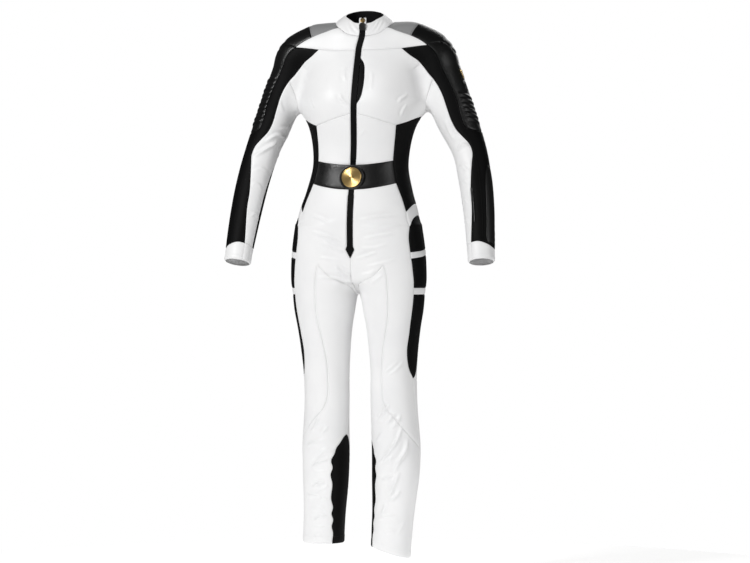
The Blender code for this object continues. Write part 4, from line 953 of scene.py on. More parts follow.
def fill(loop, chart, spacing):
    """Triangles over the inside of a loop, with each point's place on the form and its normal, the side
    of the loop that they lie on, and each point's place in the chart, from the edge and round it."""
    u, v = chart.coords(loop)
    outline = np.stack(chart.flat(unwrapped(u), v), -1)
    x, y = outline.T
    turn = 1 if (x * np.roll(y, -1) - y * np.roll(x, -1)).sum() > 0 else -1
    low, high = outline.min(0), outline.max(0)
    a, b = np.meshgrid(np.arange(low[0], high[0] + spacing, spacing),
                       np.arange(low[1], high[1], spacing * math.sqrt(0.75)))
    a = a + (np.arange(len(a)) % 2)[:, None] * spacing / 2
    grid = np.stack([a.ravel(), b.ravel()], -1)
    grid = grid[inside(grid, outline)]
    grid = grid[edge_distance(grid, outline)[0] > EDGE_ROWS[-1] + EDGE_FREE * spacing]
    rings = []
    for amount in EDGE_ROWS:
        ring = offset_ring(outline, amount, turn)
        ring = ring[inside(ring, outline)]
        rings.append(ring[edge_distance(ring, outline)[0] > 0.8 * amount])
    flat = np.concatenate([outline, *rings, grid])
    _v, _e, faces, sources, _se, _sf = delaunay_2d_cdt(
        [Vector(p) for p in flat], [], [list(range(len(outline)))], 1, 1e-7)
    index = np.array([source[0] for source in sources])
    triangles = index[np.array(faces)]
    inner = flat[len(outline):]
    points = np.concatenate([loop, chart.point(*chart.unflat(inner[:, 0], inner[:, 1]))])
    far, place = edge_distance(inner, outline)
    normals = outward(points)
    triangles, sign = face_out(points, triangles, normals)
    return (points, normals, triangles, sign, flat, np.concatenate([np.zeros(len(loop)), far]),
            np.concatenate([run_along(outline), place]))


def face_out(points, triangles, normals):
    """Triangles that face the same way as the form, and 1 if the loop runs with them, else -1."""
    a, b, c = (points[triangles[:, i]] for i in range(3))
    facing = (np.cross(b - a, c - a) * normals[triangles].sum(1)).sum(-1)
    triangles = triangles if facing.sum() > 0 else triangles[:, ::-1]
    edges = np.concatenate([triangles[:, [0, 1]], triangles[:, [1, 2]], triangles[:, [2, 0]]])
    return triangles, 1 if (edges == (0, 1)).all(1).any() else -1


def set_back(points, normals, count, sign, amount):
    """Draw the first points, which run once round the piece, back from the seam."""
    ring = points[:count]
    before = ring - np.roll(ring, 1, axis=0)
    sides = []
    for run in (before, np.roll(before, -1, axis=0)):
        side = np.cross(normals[:count], run) * sign
        sides.append(side / np.maximum(np.linalg.norm(side, axis=1, keepdims=True), 1e-12))
    half = sides[0] + sides[1]
    moved = points.copy()
    moved[:count] += half * 2 * amount / np.maximum((half * half).sum(1, keepdims=True), MITRE_BODY)
    return moved

# %% [markdown]
# At its edge the cloth is folded under and stitched, which draws it down into a narrow groove and gathers
# it slightly: small waves that run out a centimetre into the panel.

# %% Roll the edges, close the wall
SEAM_DEEP, SEAM_REACH = 0.0011, 0.0022       # how far cloth dips at a seam, and over what width
PUCKER, PUCKER_LONG, PUCKER_REACH = 0.00035, 0.015, 0.007      # gathers: height, length, reach


def edge_roll(far, place):
    """Dip d = -deep * exp(-(far/reach)^2), and gathers that are sine waves along the seam."""
    wave = np.sin(math.tau * place / PUCKER_LONG + 2.2 * np.sin(place * 61)) * np.sin(place * 23 + 1)
    swell = np.exp(-(far / PUCKER_REACH)**2) * (1 - np.exp(-(far / SEAM_REACH)**2))
    return -SEAM_DEEP * np.exp(-(far / SEAM_REACH)**2) + PUCKER * wave * swell


def face_corners(mesh):
    """The point at each corner of each face, one after another."""
    corners = np.zeros(len(mesh.loops), int)
    mesh.loops.foreach_get("vertex_index", corners)
    return corners


def mesh_object(name, points, faces, uv=None):
    """A smooth mesh object with faces outwards; uv holds one pair a point."""
    mesh = bpy.data.meshes.new(name)
    mesh.from_pydata(points.tolist(), [], faces.tolist() if isinstance(faces, np.ndarray) else faces)
    bm = bmesh.new()
    bm.from_mesh(mesh)
    if bm.calc_volume(signed=True) < 0:
        bmesh.ops.reverse_faces(bm, faces=bm.faces)
    bm.to_mesh(mesh)
    bm.free()
    if uv is not None:
        layer = mesh.uv_layers.new(name="cloth")
        layer.data.foreach_set("uv", np.asarray(uv, np.float32)[face_corners(mesh)].ravel())
    mesh.shade_smooth()
    piece = bpy.data.objects.new(name, mesh)
    bpy.context.scene.collection.objects.link(piece)
    return piece


def wall(name, outer, inner, triangles, ring, uv, side="L"):
    """A closed wall between two faces with the same triangles; ring runs round its edge."""
    count = len(outer)
    points = np.concatenate([outer, inner])
    after = np.roll(ring, -1)
    rim = np.concatenate([np.stack([ring, ring + count, after], -1),
                          np.stack([after, ring + count, after + count], -1)])
    faces = np.concatenate([triangles, triangles[:, ::-1] + count, rim])
    return mesh_object(name, pose(points * MIRROR[side]), faces, np.concatenate([uv, uv]))


def settle(piece, look, *nodes, body="suit"):
    """Give a piece its material and the body that it rides on, and hide the CAD solids that it replaces."""
    piece.data.materials.append(look)
    if nodes:
        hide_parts(*nodes)
    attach(piece, body)
    return piece


# %% [markdown]
# ## Finishes
# A finish is a small graph of shader nodes. Written as sums in Python it reads like a recipe: every wire
# below can be added, multiplied or raised to a power, and each such step adds one Math node to its look.

# %% Wires and looks
class Wire:
    """An output socket. Sums, products and powers of wires add Math nodes to the wire's look."""

    def __init__(self, look, socket):
        self.look, self.socket = look, socket

    def math(self, operation, *values):
        return self.look.node("Math", {"operation": operation}, values)

    def binary(operation, turned=False):
        """A method that adds one Math node, its two values turned round for a reflected operator."""
        def apply(self, other):
            return self.math(operation, *((other, self) if turned else (self, other)))
        return apply

    __add__, __radd__ = binary("ADD"), binary("ADD")
    __mul__, __rmul__ = binary("MULTIPLY"), binary("MULTIPLY")
    __sub__, __rsub__ = binary("SUBTRACT"), binary("SUBTRACT", True)
    __truediv__, __rtruediv__ = binary("DIVIDE"), binary("DIVIDE", True)
    __pow__ = binary("POWER")

    def sine(self, pitch):
        return self.math("SINE", self * (math.tau / pitch))

    def over(self, low, high):
        """0 below low, 1 above high, smooth between."""
        return self.look.node("MapRange", {"interpolation_type": "SMOOTHSTEP"}, (self, low, high, 0.0, 1.0))


class Look:
    """A material: nodes are added one by one, and what varies ends in the shader's sockets."""

    def __init__(self, name, **fixed):
        self.material = bpy.data.materials.new(name)
        self.material.use_nodes = True
        self.tree = self.material.node_tree
        self.shader = self.tree.nodes["Principled BSDF"]
        for key, value in fixed.items():
            self.shader.inputs[key.replace("_", " ")].default_value = value

    def node(self, kind, settings=None, values=(), out=0):
        """Any node: its settings first, then the values or wires of its sockets, by place or by name."""
        made = self.tree.nodes.new("ShaderNode" + kind)
        for key, value in (settings or {}).items():
            setattr(made, key, value)
        for key, value in values.items() if isinstance(values, dict) else enumerate(values):
            if isinstance(value, Wire):
                self.tree.links.new(value.socket, made.inputs[key])
            else:
                made.inputs[key].default_value = value
        return Wire(self, made.outputs[out])

    def place(self):
        """The point of the surface, in metres."""
        return self.node("TexCoord", None, (), "Object")

    def parts(self, vector, axes):
        return (self.node("SeparateXYZ", None, (vector,), axis) for axis in axes)

    def noise(self, place, scale, detail=2.0, rough=0.5):
        return self.node("TexNoise", None,
                         {"Vector": place, "Scale": scale, "Detail": detail, "Roughness": rough})

    def pebbles(self, place, scale, edge):
        """Cells that rise from 0 at their borders to 1 at the distance edge, in units of 1 / scale."""
        cells = self.node("TexVoronoi", {"feature": "DISTANCE_TO_EDGE"}, {"Vector": place, "Scale": scale},
                          "Distance")
        return cells.over(0.0, edge)

    def mix(self, share, first, second):
        """A colour between two others."""
        return self.node("Mix", {"data_type": "RGBA"}, {0: share, 6: (*first, 1), 7: (*second, 1)}, 2)

    def stretched(self, place, scale):
        return self.node("Mapping", None, {"Vector": place, "Scale": scale})

    def finish(self, colour, roughness, height=None, metallic=None):
        """Feed the shader; height is in metres and makes the bump."""
        feeds = {"Base Color": colour, "Roughness": roughness, "Metallic": metallic}
        if height is not None:
            feeds["Normal"] = self.node("Bump", None, {"Strength": 1.0, "Distance": 1.0, "Height": height})
        for key, value in feeds.items():
            if value is not None:
                self.tree.links.new(value.socket, self.shader.inputs[key])
        return self.material

# %% [markdown]
# ## The white shell
# The white cloth is a smooth stretch twill with a dry, slightly satin face. Seen close it has fine
# diagonal threads; from a distance only slow unevenness of tone and sheen is left. Both follow each
# panel's flat pattern, kept in its UV map in metres, so the threads run with the panel and bend with it.

# %% Cloth: white shell, black cloth, grey insert, lining
def cloth_look(name, pale, dark, rough, thread, depth, slope=1.0, **fixed):
    """Twill: sine ribs at a slope across the pattern, broken by a second set square to them."""
    look = Look(name, **fixed)
    pattern = look.node("UVMap", {"uv_map": "cloth"})
    place = look.place()
    across, along = look.parts(pattern, "XY")
    ribs = (across + along * slope).sine(thread)
    picks = (along - across * 0.6).sine(thread * 0.83)
    weave = ribs * 0.6 + picks * 0.4
    slow, fine = look.noise(place, 9.0, 3.0), look.noise(place, 420.0, 1.0)
    tone = slow.over(0.3, 0.7) * 0.6 + fine * 0.25 + weave * 0.08 + 0.08
    slub = look.noise(look.stretched(pattern, (90.0, 900.0, 1.0)), 1.0, 1.0)
    height = weave * depth + slub * (depth * 0.8) + look.noise(place, 130.0, 2.0) * (depth * 2.0)
    return look.finish(look.mix(tone, dark, pale), rough + (slow - 0.5) * 0.14 + (fine - 0.5) * 0.10, height)


shell_white = cloth_look("shell_white", (0.885, 0.885, 0.885), (0.83, 0.832, 0.838), 0.48, 0.0009, 0.000016,
                         Sheen_Weight=0.15, Sheen_Roughness=0.4, Specular_IOR_Level=0.45)
cloth_black = cloth_look("cloth_black", (0.0036, 0.0036, 0.0038), (0.0018, 0.0018, 0.0019), 0.60, 0.0010,
                         0.000022, Specular_IOR_Level=0.10)
insert_grey = cloth_look("insert_grey", (0.27, 0.272, 0.275), (0.21, 0.212, 0.215), 0.55, 0.0011, 0.000022,
                         Sheen_Weight=0.2, Sheen_Roughness=0.4)
lining_black = cloth_look("lining_black", (0.010, 0.010, 0.011), (0.005, 0.005, 0.0055), 0.85, 0.0016,
                          0.000050, slope=0.15, Specular_IOR_Level=0.15)

# %% [markdown]
# ## Leather
# Belt, caps and sleeve patches are a coated black leather. Its grain is a net of shallow wrinkles round
# small pebbles, which cells of a Voronoi pattern give: raised where a point is far from its cell's edge.
# Sheen varies where the coating is rubbed, so the roughness changes slowly over the surface.

# %% Leather, rubber, thread
def leather_look(name, grain, depth, rough, **fixed):
    """Pebbles: height grows with the distance from the cells' edges, over two sizes of cell."""
    look = Look(name, **fixed)
    place = look.place()
    chance = look.node("TexNoise", None, {"Vector": place, "Scale": 260.0}, "Color")
    shift = look.node("VectorMath", {"operation": "SCALE"}, {0: chance, "Scale": grain * 0.8})
    bent = look.node("VectorMath", {"operation": "ADD"}, (place, shift))
    pebble, small = look.pebbles(bent, 1 / grain, 0.28), look.pebbles(bent, 2.3 / grain, 0.3)
    slow = look.noise(place, 14.0, 3.0)
    worn = slow.over(0.42, 0.72)
    height = pebble * depth + small * (depth * 0.35) + slow * 0.0006
    colour = look.mix(pebble * 0.6 + worn * 0.4, (0.0010, 0.0010, 0.0011), (0.0036, 0.0035, 0.0036))
    return look.finish(colour, rough + (1 - pebble) * 0.16 - worn * 0.09, height)


leather_black = leather_look("leather_black", 0.0014, 0.000055, 0.30, Specular_IOR_Level=0.50)
leather_cap = leather_look("leather_cap", 0.0011, 0.000045, 0.32, Specular_IOR_Level=0.45)


def moulded_look(name, dark, pale, rough, grit, **fixed):
    """A moulded or spun surface: fine grit and a slow change of gloss."""
    look = Look(name, **fixed)
    place = look.place()
    speck, slow = look.noise(place, grit, 2.0, 0.6), look.noise(place, 45.0, 2.0)
    return look.finish(look.mix(speck * 0.7 + slow * 0.3, dark, pale), rough + (slow - 0.5) * 0.16,
                       speck * (0.02 / grit))


rubber_black = moulded_look("rubber_black", (0.003, 0.003, 0.003), (0.008, 0.008, 0.008), 0.36, 1400.0)
coil_black = moulded_look("coil_black", (0.004, 0.004, 0.0045), (0.012, 0.012, 0.013), 0.34, 2600.0)
thread_white = moulded_look("thread_white", (0.70, 0.70, 0.71), (0.84, 0.84, 0.85), 0.55, 3200.0,
                            Sheen_Weight=0.2)
thread_black = moulded_look("thread_black", (0.006, 0.006, 0.0065), (0.018, 0.018, 0.019), 0.48, 3200.0)

# %% [markdown]
# ## Metals
# The gold parts are plated and brushed. On the round buckle the brush went round, so tone and gloss
# change in fine rings with the distance from its middle, with a very small bump; the deeper grooves are
# in its mesh. The small parts have short scratches instead.

# %% Gold and silver
def metal_look(name, bright, deep, rough, centre=None):
    """Metal; with a centre, rings by r = sqrt(x^2 + z^2), else short scratches."""
    look = Look(name, Metallic=1.0)
    place = look.place()
    if centre is None:
        line = look.noise(look.stretched(place, (500.0, 2600.0, 900.0)), 1.0, 2.0)
    else:
        local = look.node("VectorMath", {"operation": "SUBTRACT"}, (place, centre))
        x, z = look.parts(local, "XZ")
        ring = (x * x + z * z) ** 0.5
        line = look.noise(look.node("CombineXYZ", None, (ring * 2600.0, 0.0, 0.0)), 1.0, 2.0, 0.6)
    colour = look.mix(line, deep, bright)
    return look.finish(colour, rough + (line - 0.5) * 0.12, line * 0.000006)


gold_small = metal_look("gold_small", (0.78, 0.57, 0.27), (0.52, 0.36, 0.15), 0.27)
silver_dot = metal_look("silver_dot", (0.80, 0.80, 0.79), (0.55, 0.55, 0.55), 0.26)
print("looks:", len(bpy.data.materials))


# %% [markdown]
# ## Cut and sew the panels
# Every panel is made the same way from its table row. The relief is the height that the cloth stands over
# the plain form: creases, slow drift, the roll into the seams, and on the sleeve patches the quilting.

# %% Quilted ribs of the sleeve patch
# turns from front to outer side, lengths from top to bottom, number of ribs
QUILT = {"L": (38, 94, 0.326, 0.413, 6), "R": (24, 86, 0.268, 0.411, 10)}
QUILT_HIGH = 0.0026      # height of a rib
QUILT_SLANT = 0.020      # how far a rib falls from the sleeve's front to its outer side


def quilting(turn, length, side):
    """Ribs r = high * |sin(pi t)|^0.75, t counted in ribs along the slant, faded out round the field."""
    low, high, start, end, ribs = QUILT[side]
    across = (turn - low) / (high - low)
    t = (length - start - QUILT_SLANT * (across - 0.5)) / (end - start) * ribs
    fade = (ease(across / 0.16 + 0.3) * ease((1 - across) / 0.16 + 0.3)
            * ease(t / 0.3 + 0.1) * ease((ribs - t) / 0.3 + 0.1))
    uneven = 1 + 0.18 * np.sin(2.1 * np.floor(t) + (3 if side == "R" else 0))
    return QUILT_HIGH * fade * uneven * np.abs(np.sin(math.pi * t))**0.75

# %% Turned-up hems
HEM_DEEP, CUFF_DEEP = 0.022, 0.014      # how far the leg hems and the cuffs are turned up
HEM_STEP = 0.0007                       # how much thicker the turned-up part is


def turned_up(down, name):
    """A soft step where the cloth is double, and a rounded fold at the very edge."""
    if name in ("leg_inner", "calf_back", "calf_inner"):
        above, deep = down - HEM, HEM_DEEP
    elif name == "cuff":
        above, deep = CUFF_END - down, CUFF_DEEP
    else:
        return 0.0
    return HEM_STEP * ease((deep + 0.0015 - above) / 0.003) - 0.0012 * np.exp(-(above / 0.0020)**2)

# %% Fullness
# places where the cloth stands away from the form: side, turn and height on the body, reach, height
FULLNESS = [
    ("L", 88, -1.165, 0.105, 0.0085),
    ("R", 60, -1.130, 0.070, 0.0030),
    ("L", 20, -1.260, 0.080, 0.0030),
    ("R", 150, -1.240, 0.090, 0.0040),
    ("L", 160, -1.020, 0.080, 0.0035),
]


def fullness(points, side):
    """Soft rises h = high * exp(-(distance/reach)^2) round their places."""
    height = np.zeros(len(points))
    for sides, turn, down, reach, high in FULLNESS:
        if side in sides:
            centre = CHARTS["body"].point(np.array([float(turn)]), np.array([down]))
            height += high * np.exp(-((points - centre)**2).sum(1) / reach**2)
    return height

# %% One panel
# looks and thicknesses by finish
FINISHES = {"white": (shell_white, WALL), "black": (cloth_black, WALL), "grey": (insert_grey, WALL),
            "cap": (leather_cap, WALL), "leather": (leather_black, LEATHER)}
DRIFT_HIGH = 0.0006      # height of the slow unevenness
RELIEF_BEHIND = 0.0012   # how much of the relief the back of the cloth follows at most
FINE_SPACING = SPACING * 0.55
CREASED_SPACING = SPACING * 0.72
CREASED = "leg_front leg_inner leg_back calf_back chest_front_L chest_front_R sleeve_under".split()


def panel(name, chart_name, finish, side, loop_names):
    """A panel's wall between seams: the form, raised along its normals by the relief."""
    chart, (look, thick) = CHARTS[chart_name], FINISHES[finish]
    seams, spacing = SEAM_POINTS, CREASED_SPACING if name in CREASED else SPACING
    if name == "sleeve_patch":
        seams, spacing = FINE_SEAMS, FINE_SPACING
    loop = loop_points(loop_names, seams)
    points, normals, triangles, sign, flat, far, place = fill(loop, chart, spacing)
    plain = set_back(points, normals, len(loop), sign, GAP / 2)
    relief = creases(plain, normals, side) + DRIFT_HIGH * drift(plain * MIRROR[side])
    loose = fullness(plain, side)
    turn, down = chart.unflat(flat[:, 0], flat[:, 1])
    relief = relief + edge_roll(far, place) + turned_up(down, name)
    if name == "sleeve_patch":
        relief = relief + quilting(turn, down, side)
    under = np.minimum(relief, RELIEF_BEHIND)
    outer = plain + normals * (relief + loose)[:, None]
    inner = plain + normals * (under + loose - thick)[:, None]
    ring = np.arange(len(loop))[::sign]
    label = name if name.endswith(("_L", "_R")) or name == "underlap" else f"{name}_{side}"
    piece = wall("panel_" + label, outer, inner, triangles, ring, flat, side)
    settle(piece, look, label)
    return piece

# %% All panels
FINE_SEAMS = seam_set(FINE_SPACING)
panels = [panel(name, chart_name, finish, side, loop_names)
          for name, (chart_name, finish, sides, loop_names) in PIECES.items() for side in sides]
print("panels:", len(panels), "triangles:", sum(len(p.data.polygons) for p in panels))


# %% [markdown]
# ## Collar
# The stand collar is white outside and black inside. It is lofted between two rings: the neck seam and
# the brim. On the wearer's left the cloth is pushed together by the turned head, which leaves a few
# slanted soft folds that fade towards the brim.

# %% Lofted walls
def loft_wall(name, outer, inner):
    """A closed wall from two grids of points, rows by columns."""
    rows, columns = outer.shape[:2]
    index = np.arange(rows * columns).reshape(rows, columns)
    a, b, c, d = (part.ravel() for part in (index[:-1, :-1], index[1:, :-1], index[1:, 1:], index[:-1, 1:]))
    triangles = np.concatenate([np.stack([a, b, c], -1), np.stack([a, c, d], -1)])
    ring = np.concatenate([index[:, 0], index[-1, 1:], index[-2::-1, -1], index[0, -2:0:-1]])
    run = np.linalg.norm(np.diff(outer, axis=0, prepend=outer[:1]), axis=2).cumsum(0)
    rise = np.linalg.norm(np.diff(outer, axis=1, prepend=outer[:, :1]), axis=2).cumsum(1)
    uv = np.stack([rise, run], -1).reshape(-1, 2)
    return wall(name, outer.reshape(-1, 3), inner.reshape(-1, 3), triangles, ring, uv)


def rim_point(turn):
    return smooth_curve(turn, RIM[:, 0], RIM[:, 1:])


# %% Collar and lining
LINING = 0.0014        # thickness of the collar's lining and the zip's tape
COLLAR_ROWS = 17
# folds: turn of the middle, reach, turn gained from seam to brim, pitch / tau, height
COLLAR_FOLDS = ((36, 20, 50, 2.9, 0.0010), (80, 13, 8, 2.6, 0.0009), (-26, 15, -40, 3.2, 0.0009),
                (-78, 18, -12, 3.4, 0.0006))


def collar():
    """Rows from seam to brim, p = base + t (rim - base) + out * relief, with a rolled brim."""
    front, side, rear = (FINE_SEAMS[name] for name in ("neck_front", "neck_side", "neck_rear"))
    base = np.concatenate([front[:-1], side[:-1], rear])
    turn = np.degrees(np.arctan2(base[:, 0], -base[:, 1]))
    base[0, 0] += GAP / 2
    rim = rim_point(turn)
    rim[0, 0] = ZIP_HALF + GAP / 2
    base = np.concatenate([base, base[-2::-1] * MIRROR["R"]])
    rim = np.concatenate([rim, rim[-2::-1] * MIRROR["R"]])
    turn = np.r_[turn, -turn[-2::-1]]
    rise = rim - base
    up = unit(rise)
    along = np.gradient(base + rim, axis=0)
    along[0], along[-1] = (1, 0, 0), (1, 0, 0)
    out = unit(np.cross(along, up))
    t = np.linspace(0, 1, COLLAR_ROWS)[:, None]
    folds = sum(high * np.sin((turn - lean * t) / pitch) * np.exp(-((turn - middle) / reach)**2)
                for middle, reach, lean, pitch, high in COLLAR_FOLDS)
    swell = np.sin(math.pi * t) * (0.0011 + folds)
    roll = -0.0009 * np.exp(-((1 - t) / 0.06)**2) - SEAM_DEEP * np.exp(-(t / 0.08)**2)
    clear = up * GAP * 1.5
    face = base + clear + (rise - clear) * t[..., None]
    outer = face + out * (swell + roll)[..., None]
    inner = face - out * WALL
    piece = settle(loft_wall("collar_shell", outer, inner), shell_white, "collar")
    black = face - out * (WALL + GAP)
    piece = settle(loft_wall("collar_inside", black, black - out * LINING), lining_black, "collar_lining")


collar()
print("collar made")

# %% [markdown]
# ## Profiles along a path
# Piping, welts and the zip are one section carried along a line on the suit. At each station the section
# stands on three axes: along the line, out from the cloth, and across. Small end caps close it.

# %% Sweep
def sweep(name, path, out, section, scale):
    """Section points (across, out) carried along a path; scale shrinks them station by station."""
    along = unit(np.gradient(path, axis=0))
    across = unit(np.cross(along, out))
    up = np.cross(across, along)
    offset = across[:, None] * section[None, :, :1] + up[:, None] * section[None, :, 1:]
    grid = path[:, None] + offset * scale[:, None, None]
    points, faces = stacked(list(grid), turned=True)
    uv = np.stack(np.broadcast_arrays(run_along(section)[None, :], run_along(path)[:, None]), -1)
    return mesh_object(name, points, faces, uv.reshape(-1, 2))


def stacked(rings, turned=False):
    """Points and faces of a stack of equal rings, ends closed; turned winds the sides the other way."""
    count = len(rings[0])
    index = np.arange(count * len(rings)).reshape(len(rings), count)
    after = np.roll(index, -1, axis=1)
    quads = np.stack([index[:-1], after[:-1], after[1:], index[1:]], -1).reshape(-1, 4)
    if turned:
        quads = quads[:, [0, 3, 2, 1]]
    return np.concatenate(rings), quads.tolist() + [index[0][::-1].tolist(), index[-1].tolist()]


def half_round(width, high, sink=0.0004):
    """A section: half an ellipse that stands on the cloth, a little sunk in."""
    turn = np.linspace(0, math.pi, 9)
    arc = np.stack([np.cos(turn) * width / 2, np.sin(turn) * high], -1)
    return np.concatenate([arc, [(-width / 2, -sink), (width / 2, -sink)]])


def on_sleeve(places, spacing, side):
    """Posed points and normals along a smooth line through places of the sleeve's chart."""
    points = even_points(CHARTS["sleeve"], np.array(places, float), spacing, 60, 4)
    normals = outward(points)
    start, end = (pose((points + normals * lift) * MIRROR[side]) for lift in (0.0, 0.002))
    return start, unit(end - start)

# %% [markdown]
# ## Front zip
# A coil zip in black: a woven tape on each side, and a coil of small loops down the middle. The tape ends
# in a stitched arrowhead below. It runs behind the belt, so it lies deeper there. Above the slider the
# two ends of the tape are turned over and show as small white tips.

# %% The zip's tape
TAPE_TOP = 0.012       # height of the zip's upper end
BELT_DIP = 0.0048      # how far the zip's tape lies back where the belt crosses it
DIP_HIGH, DIP_LOW, DIP_EASE = -0.3690, -0.4705, 0.010      # heights between which it does, and its run-in
BEHIND_BELT = (-0.3905, -0.4475, 13)      # heights from, to, and number of the stations behind the belt
COIL_FOOT = -0.600     # height of the coil's lower end
COIL_CLEAR = (-0.380, -0.458)      # heights between which the belt hides the coil
ZIP_SEAMS = "zip_a zip_b1 zip_b2 zip_b3 zip_c zip_d zip_e zip_f"


def zip_path():
    """Points down the middle of the zip with their half widths: the collar's front, then the body's."""
    edges = [SEAM_POINTS[name][1:] for name in ZIP_SEAMS.split()]
    behind = np.linspace(*BEHIND_BELT)
    edges.insert(5, np.stack([np.full_like(behind, ZIP_HALF), np.zeros_like(behind), behind], -1))
    edge = np.concatenate([SEAM_POINTS["zip_a"][:1], *edges])
    half, down = np.maximum(edge[:, 0], 0.0006), edge[:, 2]
    on_body = Straight().point(np.zeros_like(down), down)
    dip = BELT_DIP * ease((down - DIP_LOW) / DIP_EASE) * ease((DIP_HIGH - down) / DIP_EASE)
    on_body = on_body - outward(on_body) * dip[:, None]
    neck, brim = on_body[0], rim_point(0.0)
    slope = (brim - neck) / (brim[2] - neck[2])
    heights = np.linspace(TAPE_TOP, neck[2], 9)[:-1]
    on_collar = neck + (heights - neck[2])[:, None] * slope
    return np.concatenate([on_collar, on_body]), np.concatenate([np.full(8, ZIP_HALF), half])


ZIP_MIDDLE, ZIP_WIDE = zip_path()
ZIP_OUT = unit(np.cross(np.gradient(ZIP_MIDDLE, axis=0), (-1.0, 0, 0)))
ZIP_RUN = run_along(ZIP_MIDDLE)


def zip_band():
    """Across the tape: a thick cord edge, a flat tape, and a raised bed for the coil in the middle."""
    across = np.linspace(-1, 1, 19)
    relief = 0.0004 * np.exp(-((np.abs(across) - 0.90) / 0.07)**2) + 0.0007 * np.exp(-(across / 0.22)**2)
    relief = relief - 0.0004 * (np.abs(across) > 0.99)
    broad = (ZIP_WIDE - GAP / 2)[:, None, None] * across[None, :, None] * np.array([1.0, 0, 0])
    face = ZIP_MIDDLE[:, None] + broad + ZIP_OUT[:, None] * relief[None, :, None]
    plain = ZIP_MIDDLE[:, None] + broad - ZIP_OUT[:, None] * LINING
    piece = settle(loft_wall("zip_band", face, plain), cloth_black, "zip_tape")


def at_run(place, run, points):
    """Points at lengths along a line."""
    return np.stack([np.interp(place, run, points[:, k]) for k in range(3)], -1)


def scattered(name, look, shape_points, shape_faces, places, axes):
    """Many copies of one small shape, each on its own three axes, joined in one mesh."""
    shape_points = np.asarray(shape_points, float)
    count, size = len(places), len(shape_points)
    points = places[:, None] + np.einsum("pk,nkj->npj", shape_points, np.stack(axes, 1))
    faces = (np.asarray(shape_faces)[None] + np.arange(count)[:, None, None] * size).reshape(-1, 3)
    uv = np.tile(shape_points[:, :2], (count, 1))
    return settle(mesh_object(name, points.reshape(-1, 3), faces, uv), look)


def bead(long, wide, high, sides):
    """A grain lying along its first axis: two rings and two tips."""
    turn = full_turn(sides)
    points = [(-long / 2, 0, 0)]
    for share in (0.28, 0.72):
        points += [((share - 0.5) * long, math.cos(t) * wide / 2, math.sin(t) * high / 2) for t in turn]
    points.append((long / 2, 0, 0))
    last = len(points) - 1
    faces = []
    for i in range(sides):
        j = (i + 1) % sides
        faces += [(0, 1 + j, 1 + i), (1 + i, 1 + j, 1 + j + sides), (1 + i, 1 + j + sides, 1 + i + sides),
                  (last, 1 + sides + i, 1 + sides + j)]
    return points, faces


def zip_coil(pitch=0.0017):
    """Loops of the coil: grains across the tape, left and right in turn, clear of the belt."""
    place = np.arange(0.004, np.interp(-COIL_FOOT, -ZIP_MIDDLE[:, 2], ZIP_RUN), pitch)
    middle, out = (at_run(place, ZIP_RUN, line) for line in (ZIP_MIDDLE, ZIP_OUT))
    clear = (middle[:, 2] > COIL_CLEAR[0]) | (middle[:, 2] < COIL_CLEAR[1])
    middle, out = middle[clear], out[clear]
    side = np.where(np.arange(len(middle)) % 2, 1.0, -1.0)[:, None]
    across = np.tile([1.0, 0, 0], (len(middle), 1))
    centre = pose(middle + out * 0.0009 + across * side * 0.0006)
    down = np.cross(out, across)
    grain = bead(0.0036, 0.0012, 0.0009, 6)
    piece = scattered("zip_coil", coil_black, *grain, centre, (across, down, out))


def tape_tips():
    """The two upper ends of the tape, turned over: flat soft blocks beside the slider."""
    foot = ZIP_MIDDLE[0]
    up = unit(rim_point(0.0) - foot)
    turn = np.linspace(0, math.tau, 17)[:-1]
    section = np.stack([np.sign(v) * np.sqrt(np.abs(v)) for v in (np.cos(turn), np.sin(turn))], -1) \
        * (0.0037, 0.0015)
    for side, sign in (("L", 1), ("R", -1)):
        path = foot + np.linspace(-0.002, 0.0170, 8)[:, None] * up + np.array([sign * 0.0060, -0.0012, 0])
        swell = np.array([0.8, 1.0, 1.0, 0.97, 1.0, 1.02, 0.92, 0.55])
        piece = sweep(f"tape_tip_{side}", pose(path), np.tile([0.0, -1.0, 0.0], (8, 1)), section, swell)
        settle(piece, thread_white)


zip_band()
zip_coil()
tape_tips()
print("zip:", len(ZIP_MIDDLE), "stations")


# %% [markdown]
# ## Sliders and pulls
# Three small zip pulls hang on their sliders. Each is a thin plate with rolled edges on a hinge barrel.
# The hinges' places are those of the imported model, so a tab swings on the same axis in every pose.

# %% Plates with rolled edges
# slider (width, length), tab (width, length, corner), hinge's place, axes down and out
PULLS = {
    "neck": ((0.0125, 0.0118), (0.0178, 0.030, 0.0060), (0.02067, -0.0613, 0.00797),
             (0.034, -0.2985, -0.9538), (0.108, -0.9477, 0.3004)),
    "pocket": ((0.0080, 0.0110), (0.0075, 0.022, 0.0025), (0.28149, -0.00226, -0.12902),
               (0.3979, -0.0800, -0.9139), (0.896, -0.1801, 0.4059)),
    "forearm": ((0.0060, 0.0080), (0.0055, 0.026, 0.0020), (0.32454, -0.07721, -0.45959),
                (0.0436, -0.2027, -0.9783), (0.2057, -0.9564, 0.2073)),
}
HINGE = 0.0047           # height of the hinge's axis over the slider's back
SLIDER_DEEP = 0.0026     # height of a slider over the cloth
KNUCKLE = 0.0015         # radius of a tab's hinge knuckle
TAB_DEEP = 0.0016        # thickness of a tab
REST = math.radians(-4)  # swing of a tab at rest, towards the cloth


